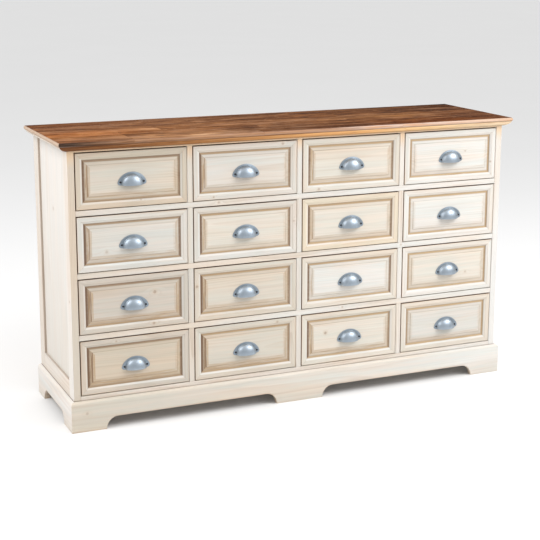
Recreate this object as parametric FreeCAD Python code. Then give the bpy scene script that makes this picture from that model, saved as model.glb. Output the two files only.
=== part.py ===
import FreeCAD, Part
import math
import os

V = FreeCAD.Vector

# ---------------------------------------------------------------------------
# Wide chest of sixteen drawers, four columns by four rows.
# Frame: +Z up, +X along the length, the drawers open towards -Y.
# Origin: on the floor, under the middle of the top board. Millimetres.
# ---------------------------------------------------------------------------

# overall
LENGTH = 1660.0            # top board, nose to nose
DEPTH = 464.0              # top board, nose to back edge
HEIGHT = 950.0

# carcass
BODY_W = 1598.0
Y_FACE = -208.0            # front face of posts, rails and dividers
Y_BACK = 227.0             # back face of the body
TOP_T = 13.0
Z_TOP_UNDER = HEIGHT - TOP_T          # 937
MOULD_H = 16.0                        # strip under the top board
POST_T = 22.85                        # post and stile thickness along X
POST_D = 55.0                         # post and stile width along Y
PANEL_T = 10.0
PANEL_RECESS = 8.0
SIDE_RAIL_H = 55.0
BOTTOM_T = 14.0
BACK_T = 10.0
BACK_BOARDS = 16
RAIL_D = 60.0                         # depth of front rails and dividers

# plinth
PLINTH_H = 103.0
PLINTH_T = 18.0
PLINTH_PROUD = 13.0
PLINTH_ROUND = 10.0
ARCH_H = 40.0
ARCH_R = 40.0
FOOT_W = 117.0                        # front corner feet, seen from the front
CENTRE_FOOT_W = 174.0
SIDE_FOOT_FRONT = 100.0
SIDE_FOOT_BACK = 82.0

# drawer grid
COLS, ROWS = 4, 4
FRONT_W, FRONT_H, FRONT_T = 370.0, 180.5, 22.0
COL_PITCH, ROW_PITCH = 392.5, 204.0
X_FIRST = -772.95                     # left edge of the first column's fronts
Z_LAST = 119.5                        # lower edge of the bottom row's fronts
GAP_LEFT, GAP_RIGHT, GAP_TOP, GAP_BOTTOM = 3.2, 1.6, 3.5, 2.5
FRONT_SETBACK = 1.0
MEMBER_W = 23.0                       # frame member, outer edge to the groove round the panel
MEMBER_FACE = 14.5
PANEL_EDGE = 6.0                      # depth of the panel's edge below the face
FIELD_DEPTH = 1.8                     # depth of the raised field below the face

# drawer box
BOX_CLEAR = 2.0                       # box side to front edge, each side
BOX_T = 12.0
BOX_H = 140.0
BOX_LEN = 385.0
BOX_BOTTOM_T = 5.0
BOX_LIFT = 0.5                        # over the runners

# cup pull
CUP_R, CUP_REACH = 36.5, 23.0
CUP_WALL = 1.4
FLANGE_A, FLANGE_C, FLANGE_T = 49.0, 42.0, 1.6
SCREW_X, SCREW_Z = 39.0, 10.0
SCREW_R, SCREW_HEAD_R = 1.9, 3.4

os.makedirs("parts", exist_ok=True)
HALF_W = BODY_W / 2.0


def box(x0, x1, y0, y1, z0, z1):
    return Part.makeBox(x1 - x0, y1 - y0, z1 - z0, V(x0, y0, z0))


def prism(points, vector):
    wire = Part.makePolygon([V(*p) for p in points] + [V(*points[0])])
    return Part.Face(wire).extrude(V(*vector))


def save(name, solids):
    solids = solids if isinstance(solids, list) else [solids]
    shape = solids[0] if len(solids) == 1 else Part.makeCompound(solids)
    shape.exportStep("parts/%s.step" % name)
    volume = sum(s.Volume for s in solids)
    print("%-24s %2d solid(s) %10.1f cm3 valid %s" % (name, len(solids), volume / 1000.0, shape.isValid()))


def one(shape):
    solids = shape.Solids
    if len(solids) != 1:
        raise ValueError("expected one solid, got %d" % len(solids))
    return solids[0]


# --------------------------------------------------------------- top board
# nose profile, u inwards from the tip, z down from the top face
NOSE = [(4.0, 0.0), (2.4, 0.8), (0.8, 2.6), (0.0, 5.2), (0.0, 7.6), (0.7, 10.2), (1.9, 11.9), (3.4, 13.0)]
hx = LENGTH / 2.0
y_nose, y_rear = -DEPTH / 2.0, DEPTH / 2.0
front_section = [(0.0, y_nose + u, HEIGHT - z) for u, z in NOSE] + \
    [(0.0, y_rear, Z_TOP_UNDER), (0.0, y_rear, HEIGHT)]
along_x = prism([(-hx, y, z) for _, y, z in front_section], (2 * hx, 0, 0))
end_section = [(-hx + u, 0.0, HEIGHT - z) for u, z in NOSE] + \
    [(hx - u, 0.0, HEIGHT - z) for u, z in reversed(NOSE)]
along_y = prism([(x, y_nose, z) for x, _, z in end_section], (0, DEPTH, 0))
save("top_board", one(along_x.common(along_y)))

# ------------------------------------------- moulding strips under the top
# profile: out is the distance outside the carcass face, z is height
END_OUT, FRONT_OUT = 26.5, 20.5       # upper edge; the profile is stretched to END_OUT so that the mitres meet
Z_M0, Z_M1 = Z_TOP_UNDER - MOULD_H, Z_TOP_UNDER


MOULD = [(1.0, 0.0), (0.985, 2.2), (0.92, 4.9), (0.80, 8.2), (0.655, 11.0), (0.48, 13.2), (0.315, 14.4), (0.24, MOULD_H)]


def mould_profile(out):
    return [(0.0, Z_M1)] + [(out * f, Z_M1 - d) for f, d in MOULD] + [(0.0, Z_M0)]


big = 60.0
strip_front = prism([(-HALF_W - big, Y_FACE - o, z) for o, z in mould_profile(FRONT_OUT)], (BODY_W + 2 * big, 0, 0))
strip_left = prism([(-HALF_W - o, Y_FACE - big, z) for o, z in mould_profile(END_OUT)], (0, Y_BACK - Y_FACE + big, 0))
# the mitre runs from the carcass corner to the strips' outer corner
kx, ky = END_OUT * 2.0, FRONT_OUT * 2.0
front_zone = prism([(-HALF_W, Y_FACE, Z_M0 - 1), (HALF_W, Y_FACE, Z_M0 - 1), (HALF_W + kx, Y_FACE - ky, Z_M0 - 1),
                    (-HALF_W - kx, Y_FACE - ky, Z_M0 - 1)], (0, 0, MOULD_H + 2))
left_zone = prism([(-HALF_W, Y_FACE, Z_M0 - 1), (-HALF_W - kx, Y_FACE - ky, Z_M0 - 1), (-HALF_W - kx, Y_BACK, Z_M0 - 1),
                   (-HALF_W, Y_BACK, Z_M0 - 1)], (0, 0, MOULD_H + 2))
m_front = one(strip_front.common(front_zone))
m_left = one(strip_left.common(left_zone))
m_right = m_left.mirror(V(0, 0, 0), V(1, 0, 0))
# the front strip is two lengths, butted over the third divider
JOINT_X = X_FIRST + 3 * COL_PITCH - 10.0
m_front_a = one(m_front.common(box(-HALF_W - big, JOINT_X, -400, 400, 0, 1000)))
m_front_b = one(m_front.common(box(JOINT_X, HALF_W + big, -400, 400, 0, 1000)))
save("top_moulding", [m_front_a, m_front_b, m_left, one(m_right)])

# ------------------------------------------------------------------- sides
z0, z1 = PLINTH_H, Z_TOP_UNDER
xo, xi = -HALF_W, -HALF_W + POST_T
ya, yb = Y_FACE + POST_D, Y_BACK - POST_D
Z_TOPRAIL = Z_LAST + 3 * ROW_PITCH + FRONT_H + GAP_TOP      # 915.5
groove = 8.0
px0, px1 = xo + PANEL_RECESS, xo + PANEL_RECESS + PANEL_T


def side():
    post = box(xo, xi, Y_FACE, ya, z0, z1).cut(box(px0, px1, ya - groove, ya, z0 + SIDE_RAIL_H - groove, Z_TOPRAIL + groove))
    stile = box(xo, xi, yb, Y_BACK, z0, z1).cut(box(px0, px1, yb, yb + groove, z0 + SIDE_RAIL_H - groove, Z_TOPRAIL + groove))
    stile = stile.cut(box(xi - 12.0, xi, Y_BACK - BACK_T, Y_BACK, z0, z1))
    low = box(xo, xi, ya, yb, z0, z0 + SIDE_RAIL_H).cut(box(px0, px1, ya, yb, z0 + SIDE_RAIL_H - groove, z0 + SIDE_RAIL_H))
    high = box(xo, xi, ya, yb, Z_TOPRAIL, z1).cut(box(px0, px1, ya, yb, Z_TOPRAIL, Z_TOPRAIL + groove))
    panel = box(px0, px1, ya - groove + 0.5, yb + groove - 0.5, z0 + SIDE_RAIL_H - groove + 0.5, Z_TOPRAIL + groove - 0.5)
    return [one(s) for s in (post, stile, low, high, panel)]


left = side()
right = [one(s.mirror(V(0, 0, 0), V(1, 0, 0))) for s in left]
save("left_side", left)
save("right_side", right)

# ------------------------------------------------------- front rails, uprights
inner = HALF_W - POST_T
front_x = [X_FIRST + c * COL_PITCH for c in range(COLS)]
front_z = [Z_LAST + (ROWS - 1 - r) * ROW_PITCH for r in range(ROWS)]     # row 0 is the top row
rails, dividers, partitions, runners = [], [], [], []
for r in range(ROWS):
    zr0 = front_z[r] + FRONT_H + GAP_TOP
    zr1 = Z_TOP_UNDER if r == 0 else front_z[r - 1] - GAP_BOTTOM
    rails.append(box(-inner, inner, Y_FACE, Y_FACE + RAIL_D, zr0, zr1))
    zd0 = front_z[r] - GAP_BOTTOM
    for c in range(COLS - 1):
        xd0 = front_x[c] + FRONT_W + GAP_RIGHT
        dividers.append(box(xd0, front_x[c + 1] - GAP_LEFT, Y_FACE, Y_FACE + RAIL_D, zd0, zr0))
save("face_frame", rails + dividers)

# ------------------------------------------- uprights and runners behind it
y_in0, y_in1 = Y_FACE + RAIL_D, Y_BACK - BACK_T
for c in range(COLS - 1):
    xd0 = front_x[c] + FRONT_W + GAP_RIGHT
    partitions.append(box(xd0, front_x[c + 1] - GAP_LEFT, y_in0, y_in1, PLINTH_H + BOTTOM_T, Z_TOP_UNDER))
save("partitions", partitions)
RUNNER_W = 18.0
for r in range(ROWS - 1):
    z_hi = front_z[r] - GAP_BOTTOM
    z_lo = front_z[r + 1] + FRONT_H + GAP_TOP
    for c in range(COLS):
        xa = front_x[c] - GAP_LEFT
        xb = front_x[c] + FRONT_W + GAP_RIGHT
        runners.append(box(xa, xa + RUNNER_W, y_in0, y_in1 - 12.0, z_lo, z_hi))
        runners.append(box(xb - RUNNER_W, xb, y_in0, y_in1 - 12.0, z_lo, z_hi))
save("drawer_runners", runners)

# ------------------------------------------------------------ bottom, back
save("bottom_board", box(-inner, inner, Y_FACE, Y_BACK - BACK_T, PLINTH_H, PLINTH_H + BOTTOM_T))
bx = inner + 12.0 - 0.5
bw = 2.0 * bx / BACK_BOARDS
boards = []
for i in range(BACK_BOARDS):
    x0, x1 = -bx + i * bw, -bx + (i + 1) * bw
    last = i == BACK_BOARDS - 1
    y0, y1 = Y_BACK - BACK_T, Y_BACK
    b = box(x0, x1 if last else x1 - 1.0, y0, y1, PLINTH_H, Z_TOP_UNDER)
    if not last:
        b = b.fuse(box(x1 - 1.0, x1 + 4.5, y0 + 3.0, y0 + 6.0, PLINTH_H, Z_TOP_UNDER))
    if i:
        b = b.cut(box(x0, x0 + 5.0, y0 + 3.0, y0 + 6.0, PLINTH_H, Z_TOP_UNDER))
    boards.append(one(b.removeSplitter()))
save("back_boards", boards)

# ------------------------------------------------------------------ plinth
PX = HALF_W + PLINTH_PROUD
PY = Y_FACE - PLINTH_PROUD


def rounded_section(n=8):
    # t is the distance in from the outer face, z the height
    pts = [(0.0, 0.0), (0.0, PLINTH_H - PLINTH_ROUND)]
    for k in range(1, n):
        a = math.pi / 2 * k / n
        pts.append((PLINTH_ROUND * (1 - math.cos(a)), PLINTH_H - PLINTH_ROUND * (1 - math.sin(a))))
    pts += [(PLINTH_ROUND, PLINTH_H), (PLINTH_T, PLINTH_H), (PLINTH_T, 0.0)]
    return pts


def arch(a0, a1):
    # cut-out in (a, z): quarter curves rise from the floor at a0 and a1 to the arch line
    n = 10
    pts = [(a0, -1.0), (a0, 0.0)]
    for k in range(1, n + 1):
        t = math.pi / 2 * k / n
        pts.append((a0 + ARCH_R * (1 - math.cos(t)), ARCH_H * math.sin(t)))
    for k in range(n, -1, -1):
        t = math.pi / 2 * k / n
        pts.append((a1 - ARCH_R * (1 - math.cos(t)), ARCH_H * math.sin(t)))
    pts.append((a1, -1.0))
    return pts


front_board = prism([(-PX, PY + t, z) for t, z in rounded_section()], (2 * PX, 0, 0))
zone = prism([(-PX, PY, -2), (PX, PY, -2), (PX - 40, PY + 40, -2), (-PX + 40, PY + 40, -2)], (0, 0, PLINTH_H + 4))
front_board = front_board.common(zone)
for a0, a1 in ((-PX + FOOT_W, -CENTRE_FOOT_W / 2), (CENTRE_FOOT_W / 2, PX - FOOT_W)):
    front_board = front_board.cut(prism([(a, PY - 5, z) for a, z in arch(a0, a1)], (0, PLINTH_T + 10, 0)))
save("plinth_front", one(front_board))

end_board = prism([(-PX + t, PY, z) for t, z in rounded_section()], (0, Y_BACK - PY, 0))
zone = prism([(-PX, PY, -2), (-PX + 40, PY + 40, -2), (-PX + 40, Y_BACK, -2), (-PX, Y_BACK, -2)], (0, 0, PLINTH_H + 4))
end_board = end_board.common(zone)
end_board = end_board.cut(prism([(-PX - 5, a, z) for a, z in arch(PY + SIDE_FOOT_FRONT, Y_BACK - SIDE_FOOT_BACK)],
                                (PLINTH_T + 10, 0, 0)))
end_left = one(end_board)
end_right = one(end_left.mirror(V(0, 0, 0), V(1, 0, 0)))
save("plinth_ends", [end_left, end_right])

ix = PX - PLINTH_T
iy = PY + PLINTH_T
rear = box(-ix, ix, Y_BACK - PLINTH_T, Y_BACK, ARCH_H, PLINTH_H)
bracing = [rear]
for sx in (-1, 1):
    xa, xb = sorted((sx * ix, sx * (ix - 40.0)))
    bracing.append(box(xa, xb, iy, iy + 40.0, 2.0, PLINTH_H))
    bracing.append(box(xa, xb, Y_BACK - PLINTH_T - 40.0, Y_BACK - PLINTH_T, ARCH_H + 4.0, PLINTH_H))
bracing.append(box(-30.0, 30.0, iy, iy + 40.0, 2.0, PLINTH_H))
save("plinth_bracing", bracing)

# ------------------------------------------------------------ drawer front
# built once with its lower left front corner at the origin, u in from the edge
LIP_DEPTH = 5.8
LIP = [(MEMBER_FACE, 0.0), (15.1, 0.8), (17.2, 1.5), (19.6, 2.5), (21.4, 3.6), (22.5, 4.7), (MEMBER_W, LIP_DEPTH)]
TONGUE_U = 17.5
EDGE_BACK = 16.0


def member_section():
    # (u, depth): face, lip, then the groove that holds the panel's edge
    return [(0.0, 0.0)] + LIP + [(17.0, LIP_DEPTH), (17.0, EDGE_BACK), (MEMBER_W, EDGE_BACK),
                                 (MEMBER_W, FRONT_T), (0.0, FRONT_T)]


def front_parts():
    w, h, m = FRONT_W, FRONT_H, MEMBER_W
    sec = member_section()
    left_m = prism([(u, d, 0.0) for u, d in sec], (0, 0, h))
    left_m = left_m.common(prism([(0, -1, 0), (m, -1, m), (m, -1, h - m), (0, -1, h)], (0, FRONT_T + 2, 0)))
    right_m = left_m.mirror(V(w / 2, 0, 0), V(1, 0, 0))
    low_m = prism([(0.0, d, u) for u, d in sec], (w, 0, 0))
    low_m = low_m.common(prism([(0, -1, 0), (w, -1, 0), (w - m, -1, m), (m, -1, m)], (0, FRONT_T + 2, 0)))
    high_m = low_m.mirror(V(0, 0, h / 2), V(0, 0, 1))
    return [one(s) for s in (left_m, right_m, low_m, high_m)]


def frustum(u_lo, d_lo, u_hi, d_hi):
    # solid between two rectangles, inset u_lo at depth d_lo and u_hi at depth d_hi
    w, h = FRONT_W, FRONT_H

    def ring(u, d):
        return [V(u, d, u), V(w - u, d, u), V(w - u, d, h - u), V(u, d, h - u)]
    a, b = ring(u_lo, d_lo), ring(u_hi, d_hi)
    faces = [Part.Face(Part.makePolygon(a + [a[0]])), Part.Face(Part.makePolygon(b + [b[0]]))]
    for k in range(4):
        j = (k + 1) % 4
        faces.append(Part.Face(Part.makePolygon([a[k], a[j], b[j], b[k], a[k]])))
    return Part.makeSolid(Part.makeShell(faces))


def raised_panel(holes):
    w, h = FRONT_W, FRONT_H
    edge = box(TONGUE_U, w - TONGUE_U, PANEL_EDGE, EDGE_BACK - 0.2, TONGUE_U, h - TONGUE_U)
    solid = edge
    for lo, hi in (((28.6, PANEL_EDGE), (40.0, 4.1)), ((40.0, 4.1), (40.6, 3.3)), ((40.6, 3.3), (45.0, 2.4)),
                   ((45.0, 2.4), (50.0, FIELD_DEPTH))):
        solid = solid.fuse(frustum(lo[0], lo[1], hi[0], hi[1]))
    for x, z in holes:
        solid = solid.cut(Part.makeCylinder(SCREW_R + 0.15, 30.0, V(x, -5, z), V(0, 1, 0)))
    return one(solid.removeSplitter())


cx, cz = FRONT_W / 2.0, FRONT_H / 2.0 - 20.5           # middle of the pull's mouth
screws = [(cx - SCREW_X, cz + SCREW_Z), (cx + SCREW_X, cz + SCREW_Z)]
front_solids = front_parts() + [raised_panel(screws)]

# --------------------------------------------------------------- drawer box
# local frame: same corner as the front, y runs back from the front's face
by0 = FRONT_T
bz0 = -GAP_BOTTOM + BOX_LIFT
bx0, bx1 = BOX_CLEAR, FRONT_W - BOX_CLEAR
g0, g1 = bz0 + 8.0, bz0 + 8.0 + BOX_BOTTOM_T
slot = box(bx0 + BOX_T - 6.0, bx1 - BOX_T + 6.0, by0 + BOX_T - 6.0, by0 + BOX_LEN - BOX_T - 3.0 + 6.0, g0, g1)
side_l = one(box(bx0, bx0 + BOX_T, by0, by0 + BOX_LEN, bz0, bz0 + BOX_H).cut(slot))
side_r = one(box(bx1 - BOX_T, bx1, by0, by0 + BOX_LEN, bz0, bz0 + BOX_H).cut(slot))
box_f = one(box(bx0 + BOX_T, bx1 - BOX_T, by0, by0 + BOX_T, bz0, bz0 + BOX_H).cut(slot))
yb1 = by0 + BOX_LEN - 3.0
box_b = one(box(bx0 + BOX_T, bx1 - BOX_T, yb1 - BOX_T, yb1, bz0, bz0 + BOX_H).cut(slot))
box_bottom = slot.copy()
box_solids = [side_l, side_r, box_f, box_b, box_bottom]


# ----------------------------------------------------------------- cup pull
# local frame: x across, y out of the front is negative, z up from the mouth
def cup_pull():
    # the cup is a shell turned through half a circle about the outward axis
    n = 9
    outer = [(CUP_R * math.cos(math.pi / 2 * k / n), -CUP_REACH * math.sin(math.pi / 2 * k / n)) for k in range(n + 1)]
    inner = [((CUP_R - CUP_WALL) * math.cos(math.pi / 2 * k / n),
              -(CUP_REACH - CUP_WALL) * math.sin(math.pi / 2 * k / n)) for k in range(n + 1)]
    outer[-1], inner[-1] = (0.0, outer[-1][1]), (0.0, inner[-1][1])
    profile = outer + list(reversed(inner))
    wire = Part.makePolygon([V(x, y, 0) for x, y in profile] + [V(profile[0][0], profile[0][1], 0)])
    shell = Part.Face(wire).revolve(V(0, 0, 0), V(0, -1, 0), 180)
    if shell.BoundBox.ZMax < 1.0:
        shell = shell.mirror(V(0, 0, 0), V(0, 0, 1))
    # flange: a half-moon rim with rounded ears, open behind the cup
    n, r = 24, 8.0
    upper = []
    for k in range(n + 1):
        t = math.pi * k / n
        x, z = FLANGE_A * math.cos(t), FLANGE_C * math.sin(t)
        if z > r:
            upper.append((x, z))
    x_edge = FLANGE_A * math.sqrt(1.0 - (r / FLANGE_C) ** 2)
    ear = [(x_edge - r + r * math.sin(math.pi / 2 * k / 6), r - r * math.cos(math.pi / 2 * k / 6)) for k in range(7)]
    outline = ear + upper + [(-x, z) for x, z in reversed(ear)]
    plate = prism([(x, 0.0, z) for x, z in outline], (0, -FLANGE_T, 0))
    plate = plate.cut(Part.makeCylinder(CUP_R - CUP_WALL / 2, 20.0, V(0, 10, 0), V(0, -1, 0)))
    for sx in (-1, 1):
        plate = plate.cut(Part.makeCylinder(SCREW_R + 0.15, 10.0, V(sx * SCREW_X, 5, SCREW_Z), V(0, -1, 0)))
    return one(shell.fuse(plate))


def screw(x, z):
    y_seat = -FLANGE_T
    profile = [(0.0, y_seat - 2.3), (1.6, y_seat - 2.05), (2.7, y_seat - 1.3), (SCREW_HEAD_R, y_seat),
               (SCREW_R, y_seat), (SCREW_R, 9.0), (0.0, 12.0)]
    wire = Part.makePolygon([V(a, b, 0) for a, b in profile] + [V(profile[0][0], profile[0][1], 0)])
    body = Part.Face(wire).revolve(V(0, 0, 0), V(0, 1, 0), 360)
    solid = body.Solids[0] if body.Solids else body
    solid.translate(V(x, 0, z))
    return solid


pull_solids = [cup_pull(), screw(-SCREW_X, SCREW_Z), screw(SCREW_X, SCREW_Z)]

# -------------------------------------------------------- the sixteen drawers
for r in range(ROWS):
    for c in range(COLS):
        corner = V(front_x[c], Y_FACE + FRONT_SETBACK, front_z[r])
        tag = "drawer_r%dc%d" % (r + 1, c + 1)
        for part_name, solids, shift in (("front", front_solids, corner), ("box", box_solids, corner),
                                         ("pull", pull_solids, corner + V(cx, FIELD_DEPTH, cz))):
            moved = []
            for s in solids:
                m = s.copy()
                m.translate(shift)
                moved.append(m)
            save("%s_%s" % (tag, part_name), moved)
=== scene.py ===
import math
import random

import bpy
from mathutils import Matrix, Vector


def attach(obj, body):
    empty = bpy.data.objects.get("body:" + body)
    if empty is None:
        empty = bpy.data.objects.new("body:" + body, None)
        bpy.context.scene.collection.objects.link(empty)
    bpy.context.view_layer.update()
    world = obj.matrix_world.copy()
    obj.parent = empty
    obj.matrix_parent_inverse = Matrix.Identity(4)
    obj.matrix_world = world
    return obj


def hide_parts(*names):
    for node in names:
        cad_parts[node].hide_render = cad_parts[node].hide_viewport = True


# Wide chest of sixteen drawers. Every CAD node is shown by a detailed piece of the same size and place.
# Sizes below are in millimetres, as in the CAD, and the meshes are written in metres.

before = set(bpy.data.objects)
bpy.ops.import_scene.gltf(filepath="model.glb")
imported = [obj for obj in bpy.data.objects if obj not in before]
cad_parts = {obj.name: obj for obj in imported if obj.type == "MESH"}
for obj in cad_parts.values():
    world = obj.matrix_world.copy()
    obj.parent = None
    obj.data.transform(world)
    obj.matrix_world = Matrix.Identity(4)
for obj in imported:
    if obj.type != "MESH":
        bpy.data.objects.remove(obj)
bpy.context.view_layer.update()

# ------------------------------------------------------------------ sizes
LENGTH, DEPTH, HEIGHT, TOP_T = 1660.0, 464.0, 950.0, 13.0
BODY_W, Y_FACE, Y_BACK = 1598.0, -208.0, 227.0
HALF_W, HALF_L = BODY_W / 2, LENGTH / 2
Z_UNDER = HEIGHT - TOP_T
MOULD_H, END_OUT, FRONT_OUT = 16.0, 26.5, 20.5
POST_T, POST_D, PANEL_T, PANEL_RECESS = 22.85, 55.0, 10.0, 8.0
SIDE_RAIL_H, BOTTOM_T, BACK_T, BACK_BOARDS, RAIL_D = 55.0, 14.0, 10.0, 16, 60.0
PLINTH_H, PLINTH_T, PLINTH_PROUD, PLINTH_ROUND = 103.0, 18.0, 13.0, 10.0
ARCH_H, ARCH_R, FOOT_W, CENTRE_FOOT_W = 40.0, 40.0, 117.0, 174.0
SIDE_FOOT_FRONT, SIDE_FOOT_BACK = 100.0, 82.0
COLS, ROWS = 4, 4
FRONT_W, FRONT_H, FRONT_T = 370.0, 180.5, 22.0
COL_PITCH, ROW_PITCH, X_FIRST, Z_LAST = 392.5, 204.0, -772.95, 119.5
GAP_LEFT, GAP_RIGHT, GAP_TOP, GAP_BOTTOM, FRONT_SETBACK = 3.2, 1.6, 3.5, 2.5, 1.0
BOX_CLEAR, BOX_T, BOX_H, BOX_LEN, BOX_BOTTOM_T, BOX_LIFT = 2.0, 12.0, 140.0, 385.0, 5.0, 0.5
CUP_R, CUP_REACH, CUP_WALL = 36.5, 23.0, 1.4
FLANGE_A, FLANGE_C, FLANGE_T = 49.0, 42.0, 1.6
SCREW_X, SCREW_Z, SCREW_HEAD_R = 39.0, 10.0, 3.4
FIELD_DEPTH, PANEL_EDGE = 1.8, 6.0

front_x = [X_FIRST + c * COL_PITCH for c in range(COLS)]
front_z = [Z_LAST + (ROWS - 1 - r) * ROW_PITCH for r in range(ROWS)]


# ------------------------------------------------------- shader node helper
class Graph:
    def __init__(self, name):
        self.material = bpy.data.materials.new(name)
        self.material.use_nodes = True
        self.tree = self.material.node_tree
        self.tree.nodes.clear()
        out = self.tree.nodes.new("ShaderNodeOutputMaterial")
        self.shader = self.tree.nodes.new("ShaderNodeBsdfPrincipled")
        self.tree.links.new(self.shader.outputs[0], out.inputs[0])

    def put(self, socket, value):
        if isinstance(value, bpy.types.NodeSocket):
            self.tree.links.new(value, socket)
        else:
            socket.default_value = value

    def math(self, op, a, b=None, c=None, clamp=False):
        n = self.tree.nodes.new("ShaderNodeMath")
        n.operation, n.use_clamp = op, clamp
        for k, v in enumerate((a, b, c)):
            if v is not None:
                self.put(n.inputs[k], v)
        return n.outputs[0]

    def add(self, a, b):
        return self.math("ADD", a, b)

    def sub(self, a, b):
        return self.math("SUBTRACT", a, b)

    def mul(self, a, b):
        return self.math("MULTIPLY", a, b)

    def clamp(self, a):
        return self.math("ADD", a, 0.0, clamp=True)

    def vec(self, x, y, z):
        n = self.tree.nodes.new("ShaderNodeCombineXYZ")
        for k, v in enumerate((x, y, z)):
            self.put(n.inputs[k], v)
        return n.outputs[0]

    def split(self, v):
        n = self.tree.nodes.new("ShaderNodeSeparateXYZ")
        self.put(n.inputs[0], v)
        return n.outputs[0], n.outputs[1], n.outputs[2]

    def attr(self, name):
        n = self.tree.nodes.new("ShaderNodeAttribute")
        n.attribute_name = name
        return n.outputs["Color"], n.outputs["Vector"], n.outputs["Fac"], n.outputs["Alpha"]

    def place(self):
        n = self.tree.nodes.new("ShaderNodeTexCoord")
        return n.outputs["Object"]

    def noise(self, v, scale=1.0, detail=2.0, rough=0.5, dist=0.0):
        n = self.tree.nodes.new("ShaderNodeTexNoise")
        self.put(n.inputs["Vector"], v)
        n.inputs["Scale"].default_value = scale
        n.inputs["Detail"].default_value = detail
        n.inputs["Roughness"].default_value = rough
        n.inputs["Distortion"].default_value = dist
        return n.outputs["Fac"]

    def step(self, v, lo, hi, out_lo=0.0, out_hi=1.0):
        n = self.tree.nodes.new("ShaderNodeMapRange")
        n.interpolation_type = "SMOOTHSTEP"
        self.put(n.inputs["Value"], v)
        for key, val in (("From Min", lo), ("From Max", hi), ("To Min", out_lo), ("To Max", out_hi)):
            n.inputs[key].default_value = val
        return n.outputs["Result"]

    def mix(self, fac, a, b, blend="MIX"):
        n = self.tree.nodes.new("ShaderNodeMix")
        n.data_type, n.blend_type = "RGBA", blend
        n.clamp_factor = True
        self.put(n.inputs[0], fac)
        self.put(n.inputs[6], a if not isinstance(a, tuple) else (*a[:3], 1.0))
        self.put(n.inputs[7], b if not isinstance(b, tuple) else (*b[:3], 1.0))
        return n.outputs[2]

    def ramp(self, fac, stops):
        n = self.tree.nodes.new("ShaderNodeValToRGB")
        self.put(n.inputs[0], fac)
        e = n.color_ramp.elements
        while len(e) < len(stops):
            e.new(0.5)
        for k, (pos, col) in enumerate(stops):
            e[k].position = pos
            e[k].color = (*col, 1.0)
        return n.outputs[0]

    def scaled(self, v, sx, sy, sz):
        n = self.tree.nodes.new("ShaderNodeVectorMath")
        n.operation = "MULTIPLY"
        self.put(n.inputs[0], v)
        n.inputs[1].default_value = (sx, sy, sz)
        return n.outputs[0]

    def length(self, v):
        n = self.tree.nodes.new("ShaderNodeVectorMath")
        n.operation = "LENGTH"
        self.put(n.inputs[0], v)
        return n.outputs["Value"]

    def bump(self, height, distance, strength):
        n = self.tree.nodes.new("ShaderNodeBump")
        n.inputs["Strength"].default_value = strength
        n.inputs["Distance"].default_value = distance
        self.put(n.inputs["Height"], height)
        self.put(self.shader.inputs["Normal"], n.outputs[0])

    def finish(self, colour, rough, metallic=0.0, specular=0.5):
        self.put(self.shader.inputs["Base Color"], colour)
        self.put(self.shader.inputs["Roughness"], rough)
        self.shader.inputs["Metallic"].default_value = metallic
        self.shader.inputs["Specular IOR Level"].default_value = specular
        return self.material


def wood_figure(g):
    """Growth rings, fibre and blotches from the board's own grain coordinates. x runs along the grain."""
    _, gco, _, _ = g.attr("gco")
    x, y, z = g.split(gco)
    _, kn, _, _ = g.attr("knot")
    kx, ky, kr = g.split(kn)
    warp = g.noise(g.scaled(gco, 1.1, 9.0, 9.0), 1.0, 2.0, 0.55)
    sway = g.noise(g.scaled(gco, 0.9, 0.0, 0.0), 1.0, 1.0, 0.5)
    # rings bulge round a knot
    kd0 = g.length(g.vec(g.mul(kx, 0.55), ky, 0.0))
    bulge = g.mul(g.math("EXPONENT", g.mul(g.mul(kd0, kd0), -0.28)), g.mul(kr, 0.010))
    ys = g.add(y, g.mul(g.sub(sway, 0.5), 0.055))
    radius = g.math("SQRT", g.add(g.mul(ys, ys), g.mul(z, z)))
    radius = g.add(radius, g.mul(g.sub(warp, 0.5), 0.017))
    radius = g.add(radius, bulge)
    ring = g.math("FRACT", g.mul(radius, 205.0))
    late = g.mul(g.step(ring, 0.35, 0.93), g.step(ring, 1.0, 0.95))
    fibre = g.noise(g.scaled(gco, 16.0, 900.0, 900.0), 1.0, 2.0, 0.6)
    streak = g.noise(g.scaled(gco, 3.2, 130.0, 130.0), 1.0, 3.0, 0.6)
    blotch = g.noise(g.scaled(gco, 2.4, 13.0, 13.0), 1.0, 2.0, 0.5)
    kn_noise = g.noise(g.scaled(kn, 1.3, 1.3, 0.0), 1.0, 1.0, 0.5)
    kd = g.add(g.length(g.vec(kx, ky, 0.0)), g.mul(g.sub(kn_noise, 0.5), 0.7))
    core = g.mul(g.step(kd, 1.05, 0.75), kr)
    halo = g.mul(g.step(kd, 2.6, 0.9), kr)
    rings = g.mul(g.mul(g.step(g.math("FRACT", g.mul(kd, 3.2)), 0.3, 0.9), g.step(kd, 2.3, 0.5)), kr)
    return gco, late, fibre, streak, blotch, core, halo, rings


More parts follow.
